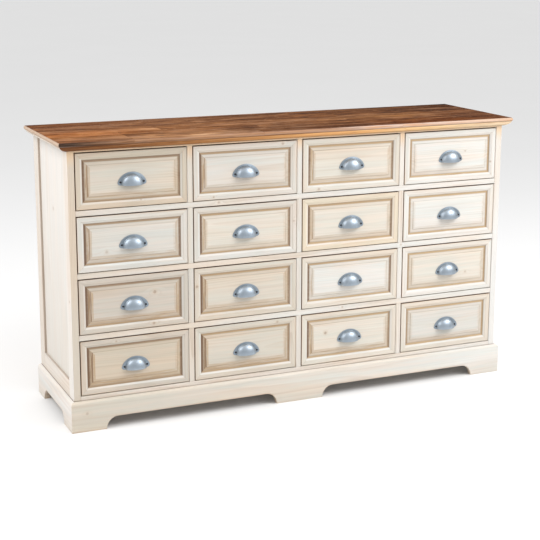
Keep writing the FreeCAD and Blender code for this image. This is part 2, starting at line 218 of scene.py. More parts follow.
def limed_material(name, peach_top, lively=1.0):
    """Whitened pine: a chalky wash over tan wood, thinner on the late rings, with brown glaze and painted shade
    darkening the quirks, grooves and gaps.
    """
    g = Graph(name)
    gco, late, fibre, streak, blotch, core, halo, rings = wood_figure(g)
    wash, _, _, cover0 = g.attr("wash")
    _, msk, _, _ = g.attr("mask")
    glaze_and_shade, stain, wear = g.split(msk)
    _, _, face_stain, _ = g.attr("face_stain")
    wood = g.mix(g.add(g.mul(late, 0.65), g.mul(streak, 0.3)), (0.74, 0.56, 0.40), (0.47, 0.32, 0.20))
    cover = g.sub(cover0, g.mul(late, 0.085))
    cover = g.sub(cover, g.mul(g.sub(streak, 0.5), 0.42 * lively))
    cover = g.sub(cover, g.mul(g.step(blotch, 0.46, 0.70), 0.20 * lively))
    cover = g.sub(cover, g.mul(g.step(fibre, 0.55, 0.8), 0.10 * lively))
    cover = g.sub(cover, g.mul(wear, g.add(0.25, g.mul(g.step(blotch, 0.40, 0.62), 0.55))))
    cover = g.clamp(cover)
    drift = g.noise(g.scaled(gco, 4.5, 42.0, 42.0), 1.0, 3.0, 0.6, 0.4)
    brush = g.noise(g.scaled(gco, 2.0, 95.0, 95.0), 1.0, 3.0, 0.62, 0.3)
    shade = g.add(0.90, g.mul(blotch, 0.07))
    shade = g.add(shade, g.mul(g.sub(brush, 0.5), 0.26 * lively))
    shade = g.add(shade, 0.03)
    tint = g.mix(g.step(drift, 0.40, 0.60), (0.968, 0.980, 0.958), (1.022, 0.986, 0.952))
    tone = g.mix(1.0, wash, g.vec(shade, shade, shade), "MULTIPLY")
    tone = g.mix(lively, tone, tint, "MULTIPLY")
    # painted shade: the front faces of the top rail and posts turn peach just under the moulding
    if peach_top:
        px, py, pz = g.split(g.place())
        lift = g.add(pz, g.mul(g.sub(blotch, 0.5), 0.035))
        front = g.step(py, -0.2066, -0.2074)
        tone = g.mix(g.mul(g.mul(g.step(lift, 0.855, 0.922), 0.88), front), tone, (0.80, 0.565, 0.345))
    col = g.mix(cover, wood, tone)
    # where the groove's painted shade is lifted on a side, it is tinted tan instead
    shade_lifted = g.mul(g.mul(g.math("MINIMUM", face_stain, 0.0), -1.0), glaze_and_shade)
    geo = g.tree.nodes.new("ShaderNodeNewGeometry")
    nx, _, _ = g.split(geo.outputs["True Normal"])
    upright = g.step(g.math("ABSOLUTE", nx), 0.04, 0.09)
    wiped = g.mix(upright, g.noise(g.scaled(g.place(), 11.0, 300.0, 300.0), 1.0, 3.0, 0.6, 0.5),
                  g.noise(g.scaled(g.place(), 300.0, 300.0, 11.0), 1.0, 3.0, 0.6, 0.5))
    wiped = g.step(wiped, 0.40, 0.59)
    # tan stain, and deeper brown where it is heaviest: partly real stain, partly painted shade on the panels' left and
    # bottom bevels and in the grooves
    col = g.mix(g.mul(g.clamp(g.add(stain, face_stain)), g.add(0.38, g.mul(wiped, 0.62))), col, (0.445, 0.308, 0.182))
    deep = g.clamp(g.sub(face_stain, 1.0))
    col = g.mix(g.mul(deep, g.add(0.35, g.mul(wiped, 0.65))), col, (0.215, 0.135, 0.078))
    col = g.mix(g.clamp(g.mul(shade_lifted, 1.6)), col, (0.520, 0.375, 0.225))
    # glaze and painted shade in the recesses, lighter in the grooves where the painted shade is lifted
    glaze_and_shade = g.mul(glaze_and_shade, g.add(1.0, g.math("MINIMUM", face_stain, 0.0)))
    soak_and_shade = g.clamp(g.mul(glaze_and_shade, g.add(0.62, g.mul(g.add(streak, g.mul(blotch, 0.6)), 0.55))))
    col = g.mix(g.mul(g.step(soak_and_shade, 0.02, 1.0), 0.94), col, (0.155, 0.082, 0.042))
    col = g.mix(g.mul(halo, 0.22), col, (0.60, 0.43, 0.27))
    col = g.mix(g.mul(rings, 0.30), col, (0.40, 0.27, 0.18))
    col = g.mix(g.mul(core, 0.55), col, (0.27, 0.18, 0.13))
    height = g.add(g.mul(fibre, 0.5), g.add(g.mul(late, -0.35), g.mul(streak, 0.5)))
    height = g.add(height, g.mul(core, -0.5))
    g.bump(height, 0.0005, 0.32)
    return g.finish(col, g.add(0.50, g.mul(streak, 0.16)), specular=0.35)


def raw_material(name):
    g = Graph(name)
    gco, late, fibre, streak, blotch, core, halo, rings = wood_figure(g)
    wash, _, _, _ = g.attr("wash")
    _, msk, _, _ = g.attr("mask")
    glaze_and_shade, stain, wear = g.split(msk)
    dark = g.mix(1.0, wash, (0.66, 0.50, 0.36), "MULTIPLY")
    col = g.mix(g.add(g.mul(late, 0.55), g.mul(g.sub(streak, 0.35), 0.45)), wash, dark)
    shade = g.add(0.90, g.mul(blotch, 0.18))
    col = g.mix(1.0, col, g.vec(shade, shade, shade), "MULTIPLY")
    col = g.mix(g.mul(g.step(fibre, 0.52, 0.8), 0.22), col, (0.46, 0.29, 0.15))
    col = g.mix(g.mul(stain, 0.6), col, (0.42, 0.24, 0.12))
    col = g.mix(g.mul(glaze_and_shade, 0.8), col, (0.10, 0.055, 0.03))
    col = g.mix(g.mul(halo, 0.4), col, (0.50, 0.28, 0.12))
    col = g.mix(g.mul(rings, 0.5), col, (0.25, 0.13, 0.06))
    col = g.mix(g.mul(core, 0.85), col, (0.13, 0.065, 0.03))
    height = g.add(g.mul(fibre, 0.6), g.add(g.mul(late, -0.4), g.mul(streak, 0.5)))
    g.bump(height, 0.0006, 0.35)
    return g.finish(col, g.add(0.56, g.mul(streak, 0.18)), specular=0.35)


def stained_material(name):
    """Reclaimed planks under a brown stain: long streaks from near black to orange, pale rubbed patches, dark joints."""
    g = Graph(name)
    gco, late, fibre, streak, blotch, core, halo, rings = wood_figure(g)
    wash, _, _, scuff = g.attr("wash")
    _, msk, _, _ = g.attr("mask")
    glaze_and_shade, stain, wear = g.split(msk)
    broad = g.noise(g.scaled(gco, 2.2, 15.0, 15.0), 1.0, 3.0, 0.6, 0.6)
    band = g.noise(g.scaled(gco, 4.5, 60.0, 60.0), 1.0, 4.0, 0.68, 0.6)
    smear = g.noise(g.scaled(gco, 9.0, 38.0, 38.0), 1.0, 4.0, 0.68, 1.2)
    fine = g.noise(g.scaled(gco, 24.0, 280.0, 280.0), 1.0, 3.0, 0.65)
    wisp = g.noise(g.scaled(gco, 7.0, 95.0, 95.0), 1.0, 3.0, 0.66, 0.6)
    level = g.add(0.5, g.mul(g.sub(band, 0.5), 1.25))
    level = g.add(level, g.mul(g.sub(broad, 0.5), 1.15))
    level = g.add(level, g.mul(g.sub(smear, 0.5), 1.35))
    level = g.add(level, g.mul(g.sub(fine, 0.5), 0.9))
    level = g.add(level, g.mul(g.sub(streak, 0.5), 0.4))
    level = g.sub(level, g.mul(late, 0.10))
    col = g.ramp(g.clamp(level), [(0.0, (0.046, 0.018, 0.009)), (0.30, (0.118, 0.045, 0.018)), (0.52, (0.190, 0.075, 0.027)),
                                  (0.74, (0.278, 0.122, 0.047)), (1.0, (0.40, 0.215, 0.115))])
    # patches where the stain took differently, across several planks
    px, py, _ = g.split(g.place())
    ragged = g.mul(g.sub(smear, 0.5), 1.6)
    for cx, cy, ax, ay, tint in ((-0.70, -0.055, 0.20, 0.060, (1.22, 1.06, 0.80)), (-0.42, -0.185, 0.25, 0.050, (1.55, 1.80, 2.00)),
                                 (-0.76, 0.150, 0.17, 0.080, (0.72, 0.60, 0.50)), (-0.30, 0.150, 0.14, 0.035, (1.30, 1.40, 1.50)),
                                 (-0.38, 0.000, 0.22, 0.050, (1.22, 1.26, 1.24)), (-0.01, -0.190, 0.27, 0.085, (0.56, 0.50, 0.44)),
                                 (-0.08, 0.130, 0.16, 0.060, (0.74, 0.69, 0.66)), (0.12, 0.140, 0.20, 0.070, (1.08, 1.08, 1.08)),
                                 (0.44, -0.010, 0.20, 0.050, (1.20, 1.22, 1.10)), (0.46, -0.195, 0.30, 0.080, (0.77, 0.56, 0.31)), (0.02, -0.200, 0.20, 0.070, (0.92, 0.86, 0.80)),
                                 (0.76, -0.040, 0.17, 0.150, (0.64, 0.56, 0.52)), (0.70, 0.160, 0.34, 0.100, (0.58, 0.51, 0.44)), (0.76, 0.190, 0.14, 0.075, (0.80, 0.72, 0.66))):
        away = g.length(g.vec(g.mul(g.sub(px, cx), 1.0 / ax), g.mul(g.sub(py, cy), 1.0 / ay), 0.0))
        col = g.mix(g.step(g.add(away, ragged), 1.45, 0.55), col, g.mix(1.0, col, tint, "MULTIPLY"))
    col = g.mix(1.0, col, wash, "MULTIPLY")
    pale = g.mul(g.step(broad, 0.42, 0.62), g.step(wisp, 0.40, 0.62))
    col = g.mix(g.mul(g.mul(pale, scuff), 0.60), col, (0.40, 0.245, 0.16))
    fleck = g.noise(g.scaled(gco, 30.0, 190.0, 190.0), 1.0, 2.0, 0.6)
    col = g.mix(g.mul(g.step(fleck, 0.60, 0.74), 0.50), col, (0.44, 0.26, 0.15))
    col = g.mix(g.mul(g.step(fleck, 0.38, 0.26), 0.45), col, (0.07, 0.03, 0.015))
    col = g.mix(g.mul(stain, 0.7), col, (0.10, 0.055, 0.035))
    col = g.mix(g.mul(halo, 0.45), col, (0.14, 0.065, 0.03))
    col = g.mix(g.mul(core, 0.85), col, (0.045, 0.022, 0.012))
    # glaze and painted shade: dark plank joints, and painted shade at the nose's underside edge
    col = g.mix(g.mul(glaze_and_shade, 0.9), col, (0.035, 0.018, 0.012))
    height = g.add(g.mul(fibre, 0.4), g.add(g.mul(late, -0.4), g.mul(band, 0.9)))
    g.bump(height, 0.0010, 0.5)
    return g.finish(col, g.add(0.60, g.mul(broad, 0.2)), specular=0.02), g


def nose_material(name, moulding):
    """The edge of the top and the strip below it: near black at the left corner, warm in the middle, rubbed pale to the right."""
    g = Graph(name)
    gco, late, fibre, streak, blotch, core, halo, rings = wood_figure(g)
    _, msk, _, _ = g.attr("mask")
    glaze_and_shade, stain, wear = g.split(msk)
    px, py, pz = g.split(g.place())
    run = g.add(g.mul(px, 1.0 / 1.66), 0.5)
    run = g.add(run, g.mul(g.sub(g.noise(g.scaled(gco, 3.0, 120.0, 120.0), 1.0, 3.0, 0.6), 0.5), 0.34))
    if moulding:
        along = g.ramp(run, [(0.0, (0.20, 0.084, 0.035)), (0.16, (0.31, 0.132, 0.048)), (0.40, (0.56, 0.275, 0.104)),
                             (0.62, (0.90, 0.490, 0.200)), (0.80, (0.96, 0.67, 0.36)), (1.0, (0.97, 0.79, 0.56))])
        end = (0.80, 0.72, 0.63)
    else:
        along = g.ramp(run, [(0.0, (0.060, 0.036, 0.024)), (0.05, (0.138, 0.073, 0.041)), (0.12, (0.310, 0.162, 0.086)),
                             (0.30, (0.435, 0.235, 0.126)), (0.50, (0.425, 0.235, 0.135)), (0.72, (0.68, 0.53, 0.445)),
                             (1.0, (0.655, 0.45, 0.315))])
        end = (0.60, 0.465, 0.36)
    # the finish changes at the mitre
    apx = g.math("ABSOLUTE", px)
    if moulding:
        past = g.sub(g.sub(apx, 0.799), g.mul(g.sub(g.mul(py, -1.0), 0.208), END_OUT / FRONT_OUT))
    else:
        past = g.sub(g.add(py, 0.232), g.sub(0.830, apx))
    ends = g.mul(g.step(past, 0.0, 0.0006), g.step(px, 0.9, 0.7, 0.8, 1.0))
    col = g.mix(ends, along, end)
    dark = g.mix(1.0, col, (0.50, 0.40, 0.34), "MULTIPLY")
    col = g.mix(g.clamp(g.add(g.mul(late, 0.35), g.mul(g.sub(streak, 0.42), 1.1))), col, dark)
    warm = g.mul(g.step(g.noise(g.scaled(gco, 5.0, 90.0, 90.0), 1.0, 3.0, 0.6), 0.52, 0.66), 0.55)
    col = g.mix(g.mul(warm, g.step(px, -0.25, 0.35)), col, (0.62, 0.30, 0.13))
    # glaze and painted shade: painted shade at the top's underside edge and in the moulding's creases
    col = g.mix(g.mul(glaze_and_shade, 0.85), col, (0.10, 0.05, 0.035))
    col = g.mix(g.mul(stain, 0.75), col, (0.075, 0.045, 0.035))
    lines = g.noise(g.scaled(gco, 3.5, 520.0, 520.0), 1.0, 3.0, 0.6, 0.3)
    smear = g.noise(g.scaled(gco, 9.0, 160.0, 160.0), 1.0, 3.0, 0.65, 0.6)
    lines = g.mul(g.step(lines, 0.53, 0.66), g.step(ends, 1.0, 0.0))
    if moulding:
        col = g.mix(g.mul(lines, 0.25), col, (0.62, 0.43, 0.28))
    else:
        col = g.mix(g.mul(lines, 0.42), col, (0.52, 0.40, 0.34))
    col = g.mix(g.mul(g.step(smear, 0.50, 0.34), g.mul(g.step(ends, 1.0, 0.0), g.step(run, 0.2, 0.8, 0.55, 0.25))), col, g.mix(1.0, col, (0.42, 0.36, 0.34), "MULTIPLY"))
    speck = g.noise(g.scaled(gco, 70.0, 620.0, 620.0), 1.0, 2.0, 0.6)
    col = g.mix(g.mul(g.mul(g.step(speck, 0.50, 0.64), ends), 0.25 if moulding else 0.60), col, (0.42, 0.27, 0.18))
    height = g.add(g.mul(fibre, 0.4), g.mul(streak, 0.5))
    g.bump(height, 0.0006, 0.35)
    return g.finish(col, g.add(0.60, g.mul(streak, 0.2)), specular=0.06)


def metal_material(name):
    """Satin grey metal, darker on the flange, where painted shade stands in for its darker reflection, and where the
    crease round the cup and its inside have kept their patina.
    """
    g = Graph(name)
    place = g.place()
    cloud = g.noise(place, 160.0, 3.0, 0.55)
    grit = g.noise(place, 1500.0, 2.0, 0.6)
    _, msk, _, _ = g.attr("mask")
    patina_and_shade, _, rub_and_highlight = g.split(msk)
    col = g.mix(cloud, (0.335, 0.395, 0.455), (0.395, 0.450, 0.510))
    col = g.mix(g.mul(patina_and_shade, g.add(0.80, g.mul(cloud, 0.35))), col, (0.210, 0.255, 0.300))
    col = g.mix(g.mul(rub_and_highlight, 0.6), col, (0.50, 0.55, 0.60))
    g.bump(g.add(g.mul(cloud, 0.4), g.mul(grit, 0.3)), 0.00025, 0.18)
    return g.finish(col, g.add(0.41, g.mul(cloud, 0.08)), metallic=1.0)


def screw_material(name):
    g = Graph(name)
    cloud = g.noise(g.place(), 900.0, 2.0, 0.6)
    col = g.mix(cloud, (0.020, 0.020, 0.024), (0.060, 0.060, 0.068))
    g.bump(cloud, 0.0003, 0.3)
    return g.finish(col, g.add(0.40, g.mul(cloud, 0.2)), metallic=0.6)


M_FRONT = limed_material("limed_front", False)
M_LIMED = limed_material("limed_wood", True)
M_SIDE = limed_material("limed_side", True, 0.45)
M_RAW = raw_material("raw_pine")
M_TOP, _ = stained_material("stained_planks")
M_NOSE = nose_material("top_edge", False)
M_MOULD = nose_material("moulding_finish", True)
M_METAL = metal_material("satin_metal")
M_SCREW = screw_material("dark_screws")

# washes: linear colour and how fully the wash covers the wood
WASHES = {
    "dun": (0.560, 0.527, 0.480, 0.92),
    "tan": (0.575, 0.515, 0.430, 0.92),
    "beige": (0.625, 0.588, 0.525, 0.93),
    "grey": (0.650, 0.640, 0.612, 0.94),
    "cream": (0.690, 0.657, 0.598, 0.94),
    "ivory": (0.726, 0.720, 0.700, 0.96),
    "white": (0.748, 0.760, 0.758, 0.98),
    "pink": (0.760, 0.712, 0.680, 0.96),
    "peach": (0.720, 0.640, 0.520, 0.93),
}
RAW = {"pale": (0.74, 0.55, 0.345, 1.0), "warm": (0.66, 0.455, 0.26, 1.0), "dull": (0.56, 0.40, 0.25, 1.0)}


def blend4(a, b, t):
    return tuple(p + (q - p) * t for p, q in zip(a, b))


# --------------------------------------------------------------- the pieces
class Piece:
    """One visible piece, built board by board. Each board has its own grain, tone, masks and perhaps a knot."""

    def __init__(self, name, body, node, slot, materials):
        self.name, self.body, self.node, self.slot = name, body, node, slot
        self.materials = materials
        self.co, self.faces, self.mats, self.stain, self.smooth = [], [], [], [], []
        self.gco, self.wash, self.mask, self.knot = [], [], [], []
        self.rng = random.Random(sum(ord(ch) * (k + 3) for k, ch in enumerate(name)))

    def add(self, co, faces, grain="xzy", wash=(0.8, 0.7, 0.6, 0.9), mask=None, knot=None, mat=0, smooth=False,
            face_stain=None, pith=None, slope=None):
        base = len(self.co)
        ax = ["xyz".index(ch) for ch in grain]
        mid = [(min(p[a] for p in co) + max(p[a] for p in co)) / 2 for a in range(3)]
        r = self.rng
        start = r.uniform(0.0, 40.0)
        across = r.uniform(-45.0, 45.0)
        depth = r.choice((-1, 1)) * r.uniform(35.0, 95.0)
        if pith:
            across, depth = pith
        tilt = r.uniform(-0.02, 0.02)
        tilt2 = r.uniform(-0.014, 0.014)
        for p in co:
            al = p[ax[0]] - mid[ax[0]]
            self.co.append((p[0] * 0.001, p[1] * 0.001, p[2] * 0.001))
            self.gco.append((al * 0.001 + start, (p[ax[1]] - mid[ax[1]] + across + al * tilt) * 0.001,
                             (p[ax[2]] - mid[ax[2]] + depth + al * tilt2) * 0.001))
            if knot:
                ka, kc, kr, ks = knot
                self.knot.append(((p[ax[0]] - ka) / kr, (p[ax[1]] - kc) / kr, ks))
            else:
                self.knot.append((60.0, 60.0, 0.0))
        n = len(co)
        if isinstance(wash, list):
            self.wash += wash
        else:
            self.wash += [wash(*p) for p in co] if callable(wash) else [wash] * n
        if mask is None:
            self.mask += [(0.0, 0.0, 0.0)] * n
        elif callable(mask):
            self.mask += [mask(*p) for p in co]
        else:
            self.mask += list(mask)
        for k, f in enumerate(faces):
            self.faces.append(tuple(base + i for i in f))
            self.mats.append(mat[k] if isinstance(mat, list) else mat)
            self.smooth.append(smooth[k] if isinstance(smooth, list) else smooth)
            self.stain.append(face_stain[k] if face_stain else 0.0)

    def make(self, angle=40.0):
        me = bpy.data.meshes.new(self.name)
        me.from_pydata(self.co, [], self.faces)
        for name, kind, data in (("gco", "FLOAT_VECTOR", self.gco), ("mask", "FLOAT_VECTOR", self.mask),
                                 ("knot", "FLOAT_VECTOR", self.knot)):
            a = me.attributes.new(name, kind, "POINT")
            a.data.foreach_set("vector", [v for t in data for v in t])
        a = me.attributes.new("wash", "FLOAT_COLOR", "POINT")
        a.data.foreach_set("color", [v for t in self.wash for v in t])
        a = me.attributes.new("face_stain", "FLOAT", "FACE")
        a.data.foreach_set("value", self.stain)
        for m in self.materials:
            me.materials.append(m)
        me.polygons.foreach_set("material_index", self.mats)
        me.polygons.foreach_set("use_smooth", self.smooth)
        me.update()
        me.set_sharp_from_angle(angle=math.radians(angle))
        ob = bpy.data.objects.new(self.name, me)
        bpy.context.scene.collection.objects.link(ob)
        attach(ob, self.body)
        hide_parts(self.node)
        return ob


def chamfered(x0, x1, y0, y1, z0, z1, r=0.8):
    """A board with its edges and corners eased."""
    r = min(r, (x1 - x0) * 0.45, (y1 - y0) * 0.45, (z1 - z0) * 0.45)
    lo, hi = (x0, y0, z0), (x1, y1, z1)
    co, idx = [], {}
    for sx in (0, 1):
        for sy in (0, 1):
            for sz in (0, 1):
                s = (sx, sy, sz)
                for a in range(3):
                    p = [(lo[k] + r if s[k] == 0 else hi[k] - r) for k in range(3)]
                    p[a] = hi[a] if s[a] else lo[a]
                    idx[(s, a)] = len(co)
                    co.append(tuple(p))
    faces = []

    def quad(q, out):
        a, b, c = (Vector(co[i]) for i in q[:3])
        if (b - a).cross(c - b).dot(Vector(out)) < 0:
            q = q[::-1]
        faces.append(tuple(q))
    for a in range(3):
        b, c = [k for k in range(3) if k != a]
        for s in (0, 1):
            q = []
            for u, v in ((0, 0), (1, 0), (1, 1), (0, 1)):
                t = [0, 0, 0]
                t[a], t[b], t[c] = s, u, v
                q.append(idx[(tuple(t), a)])
            out = [0, 0, 0]
            out[a] = 1 if s else -1
            quad(q, out)
    for a in range(3):
        b, c = [k for k in range(3) if k != a]
        for u in (0, 1):
            for v in (0, 1):
                q = []
                for s, f in ((0, b), (1, b), (1, c), (0, c)):
                    t = [0, 0, 0]
                    t[a], t[b], t[c] = s, u, v
                    q.append(idx[(tuple(t), f)])
                out = [0, 0, 0]
                out[b], out[c] = (1 if u else -1), (1 if v else -1)
                quad(q, out)
    for sx in (0, 1):
        for sy in (0, 1):
            for sz in (0, 1):
                s = (sx, sy, sz)
                quad([idx[(s, 0)], idx[(s, 1)], idx[(s, 2)]], [2 * sx - 1, 2 * sy - 1, 2 * sz - 1])
    return co, faces


def loft(loops, caps=(True, True), closed=True):
    """Closed loops of points, joined one to the next, with flat ends."""
    n = len(loops[0])
    co = [p for lp in loops for p in lp]
    faces = []
    for k in range(len(loops) - 1):
        for i in range(n if closed else n - 1):
            j = (i + 1) % n
            faces.append((k * n + i, k * n + j, (k + 1) * n + j, (k + 1) * n + i))
    side = len(faces)
    if caps[0]:
        faces.append(tuple(range(n - 1, -1, -1)))
    if caps[1]:
        faces.append(tuple((len(loops) - 1) * n + i for i in range(n)))
    # make the faces point outwards
    vol = 0.0
    for f in faces:
        a = Vector(co[f[0]])
        for k in range(1, len(f) - 1):
            vol += a.dot(Vector(co[f[k]]).cross(Vector(co[f[k + 1]])))
    if vol < 0:
        faces = [f[::-1] for f in faces]
    return co, faces, side


def edge_mask(box, glaze_and_shade=0.0, wear=0.0, stain=0.0):
    """Every vertex of a board gets the same mask, since every vertex is on an eased edge. Wear
    along a board's eased edges is strongest at its ends; here every vertex is on an edge.
    """
    return lambda x, y, z: (glaze_and_shade, stain, wear)


def board(piece, x0, x1, y0, y1, z0, z1, grain="xzy", wash=None, r=0.8, glaze_and_shade=0.0, wear=0.0, stain=0.0, knot=None,
          mat=0, end_stain=0.0, pith=None, face_glaze=None):
    co, faces = chamfered(x0, x1, y0, y1, z0, z1, r)
    along = "xyz".index(grain[0])
    fs = None
    if end_stain:
        fs = [0.0] * len(faces)
        fs[2 * along] = fs[2 * along + 1] = end_stain
    piece.add(co, faces, grain=grain, wash=wash, mask=[(glaze_and_shade, stain, wear)] * len(co), knot=knot, mat=mat,
              face_stain=fs, pith=pith)


# -------------------------------------------------------------- drawer front
# (u inwards from the edge, depth below the face, glaze and painted shade, wear): the groove at the lip's foot is
# painted dark as shade
MEMBER = [(0.8, 22.0, 0.5, 0.0), (0.0, 21.2, 0.5, 0.0), (0.0, 9.0, 0.6, 0.0), (0.0, 2.0, 0.40, 0.2), (0.3, 0.8, 0.10, 0.5),
          (0.9, 0.22, 0.04, 0.5), (1.8, 0.0, 0.0, 0.25), (3.2, 0.0, 0.0, 0.0), (12.4, 0.0, 0.0, 0.0), (14.0, 0.0, 0.02, 0.1),
          (14.55, 0.15, 0.10, 0.2), (14.85, 0.5, 0.22, 0.0), (15.3, 0.85, 0.14, 0.0), (16.2, 1.15, 0.05, 0.0), (17.4, 1.6, 0.0, 0.1),
          (18.6, 2.1, 0.0, 0.15), (19.6, 2.55, 0.0, 0.1), (20.6, 3.1, 0.05, 0.05), (21.4, 3.65, 0.28, 0.0), (22.1, 4.3, 0.75, 0.0),
          (22.6, 4.95, 1.0, 0.0), (23.0, 5.8, 1.0, 0.0), (17.0, 5.8, 1.0, 0.0), (17.0, 16.0, 1.0, 0.0), (23.0, 16.0, 0.5, 0.0),
          (23.0, 22.0, 0.3, 0.0)]


def frame_member(piece, corner, side, wash, soak_and_shade, knot=None, stain=0.0):
    """One mitred member. side is left, right, low or high, and corner the lower left front corner."""
    w, h = FRONT_W, FRONT_H
    span = h if side in ("left", "right") else w
    steps = [(0.0, 0.30, 0.34), (0.42, 0.0, 0.16), (1.9, 0.0, 0.0)]
    stations = [(t, sink, g, 0) for t, sink, g in steps] + [(t, sink, g, 1) for t, sink, g in reversed(steps)]
    loops, mask, tones = [], [], []
    # painted highlight: the lip of each member is whitened, most on the bottom member, which faces up, less on the
    # sides and not on the top member
    rub_and_highlight = {"left": 0.55, "right": 0.40, "low": 0.75, "high": 0.0}[side]
    for t, sink, g, far in stations:
        loop = []
        for u, d, glaze_shade, wear in MEMBER:
            tones.append(blend4(wash, WASHES["white"], rub_and_highlight if 15.5 < u < 21.9 and 0.9 < d < 4.2 else 0.0))
            a = u + t if not far else span - u - t
            on_face = 1.0 if d < 5.7 else 0.0
            dd = d + sink * on_face
            if side == "left":
                p = (u, dd, a)
            elif side == "right":
                p = (w - u, dd, a)
            elif side == "low":
                p = (a, dd, u)
            else:
                p = (a, dd, h - u)
            loop.append((corner[0] + p[0], corner[1] + p[1], corner[2] + p[2]))
            # painted shade in the gaps round the front: its left and top outer edges are darkened, its right and bottom
            # ones left clean
            if side in ("left", "high"):
                glaze_shade += 0.5 if u < 0.2 and d >= 2.0 else (0.45 if u == 0.3 else (0.16 if u == 0.9 else 0.0))
            elif u < 1.0:
                glaze_shade = 0.0
            # deep in the groove, the painted shade lifted on lighter sides is given back as tan stain
            tan = 0.0
            if u > 20.0 and d > 3.0:
                tan = glaze_shade * (1.0 - soak_and_shade)
                glaze_shade *= soak_and_shade
            mask.append((min(1.0, glaze_shade + g * on_face), min(1.0, stain + tan), wear))
        loops.append(loop)
    co, faces, nside = loft(loops)
    grain = "zxy" if side in ("left", "right") else "xzy"
    smooth = [True] * nside + [False] * (len(faces) - nside)
    if knot:
        along, across, r, s = knot
        k_al = corner[2] + along if side in ("left", "right") else corner[0] + along
        k_ac = corner[0] + across if side in ("left", "right") else corner[2] + across
        knot = (k_al, k_ac, r, s)
    piece.add(co, faces, grain=grain, wash=tones, mask=mask, knot=knot, smooth=smooth)


# (u in from the panel's edge, depth, glaze and painted shade, wear): the groove floor is painted dark as shade
PANEL = [(17.7, 15.7, 0.5, 0.0), (17.7, 6.1, 0.9, 0.0), (23.2, 6.05, 1.0, 0.0), (27.6, 6.05, 1.0, 0.0), (28.7, 5.95, 1.0, 0.0),
         (29.9, 5.72, 0.5, 0.0), (31.6, 5.42, 0.14, 0.0), (34.5, 4.95, 0.08, 0.1), (37.2, 4.5, 0.12, 0.1), (39.2, 4.2, 0.24, 0.0),
         (40.0, 4.02, 0.44, 0.0), (40.25, 3.72, 0.46, 0.0), (40.6, 3.3, 0.26, 0.1), (41.6, 3.0, 0.06, 0.35), (43.0, 2.7, 0.02, 0.2),
         (45.5, 2.3, 0.0, 0.1), (48.0, 1.98, 0.0, 0.0), (50.0, 1.84, 0.03, 0.05), (52.5, 1.8, 0.0, 0.0)]


def raised_panel(piece, corner, wash, soak_and_shade, knot=None, side_stain=(0.3, 0.3, 0.15, 0.05)):
    """The panel in one board, its four bevels in separate faces so that each can take its own stain and painted shade.
    """
    w, h = FRONT_W, FRONT_H
    loops, mask = [], []
    for u, d, glaze_shade, wear in PANEL:
        v = u - 1.6 if 27.0 < u < 30.5 else u          # the lower groove is the narrowest
        loops.append([(corner[0] + x, corner[1] + d, corner[2] + z) for x, z in
                      ((u, v), (w - u, v), (w - u, h - u), (u, h - u))])
        mask += [(glaze_shade, 0.0, wear)] * 4
    co, faces, nside = loft(loops)
    left, right, low, high = side_stain
    per = [low, right, high, left]
    fs, k = [], 0
    for band in range(len(PANEL) - 1):
        for i in range(4):
            u = PANEL[band][0]
            if u < 29.0:                               # the groove floor: its painted shade is lighter on some sides
                fs.append(soak_and_shade[i] - 1.0)
            elif u < 41.0:
                fs.append(per[i])
            elif i == 0:
                fs.append(per[i] * 0.75 if u < 49.0 else 0.0)
            else:
                fs.append(per[i] * 0.45 if u < 47.0 else 0.0)
    fs += [0.0] * (len(faces) - nside)
    smooth = [True] * nside + [False] * (len(faces) - nside)
    if knot:
        along, across, r, s = knot
        knot = (corner[0] + along, corner[2] + across, r, s)
    piece.add(co, faces, grain="xzy", wash=wash, mask=mask, knot=knot, smooth=smooth, face_stain=fs)


# ----------------------------------------------------------------- cup pull
def pull_outline():
    r = 8.0
    edge = FLANGE_A * math.sqrt(1.0 - (r / FLANGE_C) ** 2)
    pts = [(edge - r + r * math.sin(math.pi / 2 * k / 7), r - r * math.cos(math.pi / 2 * k / 7)) for k in range(8)]
    t0 = math.asin(r / FLANGE_C)
    n = 34
    for k in range(1, n):
        t = t0 + (math.pi - 2 * t0) * k / n
        pts.append((FLANGE_A * math.cos(t), FLANGE_C * math.sin(t)))
    pts += [(-x, z) for x, z in reversed(pts[:8])]
    return pts


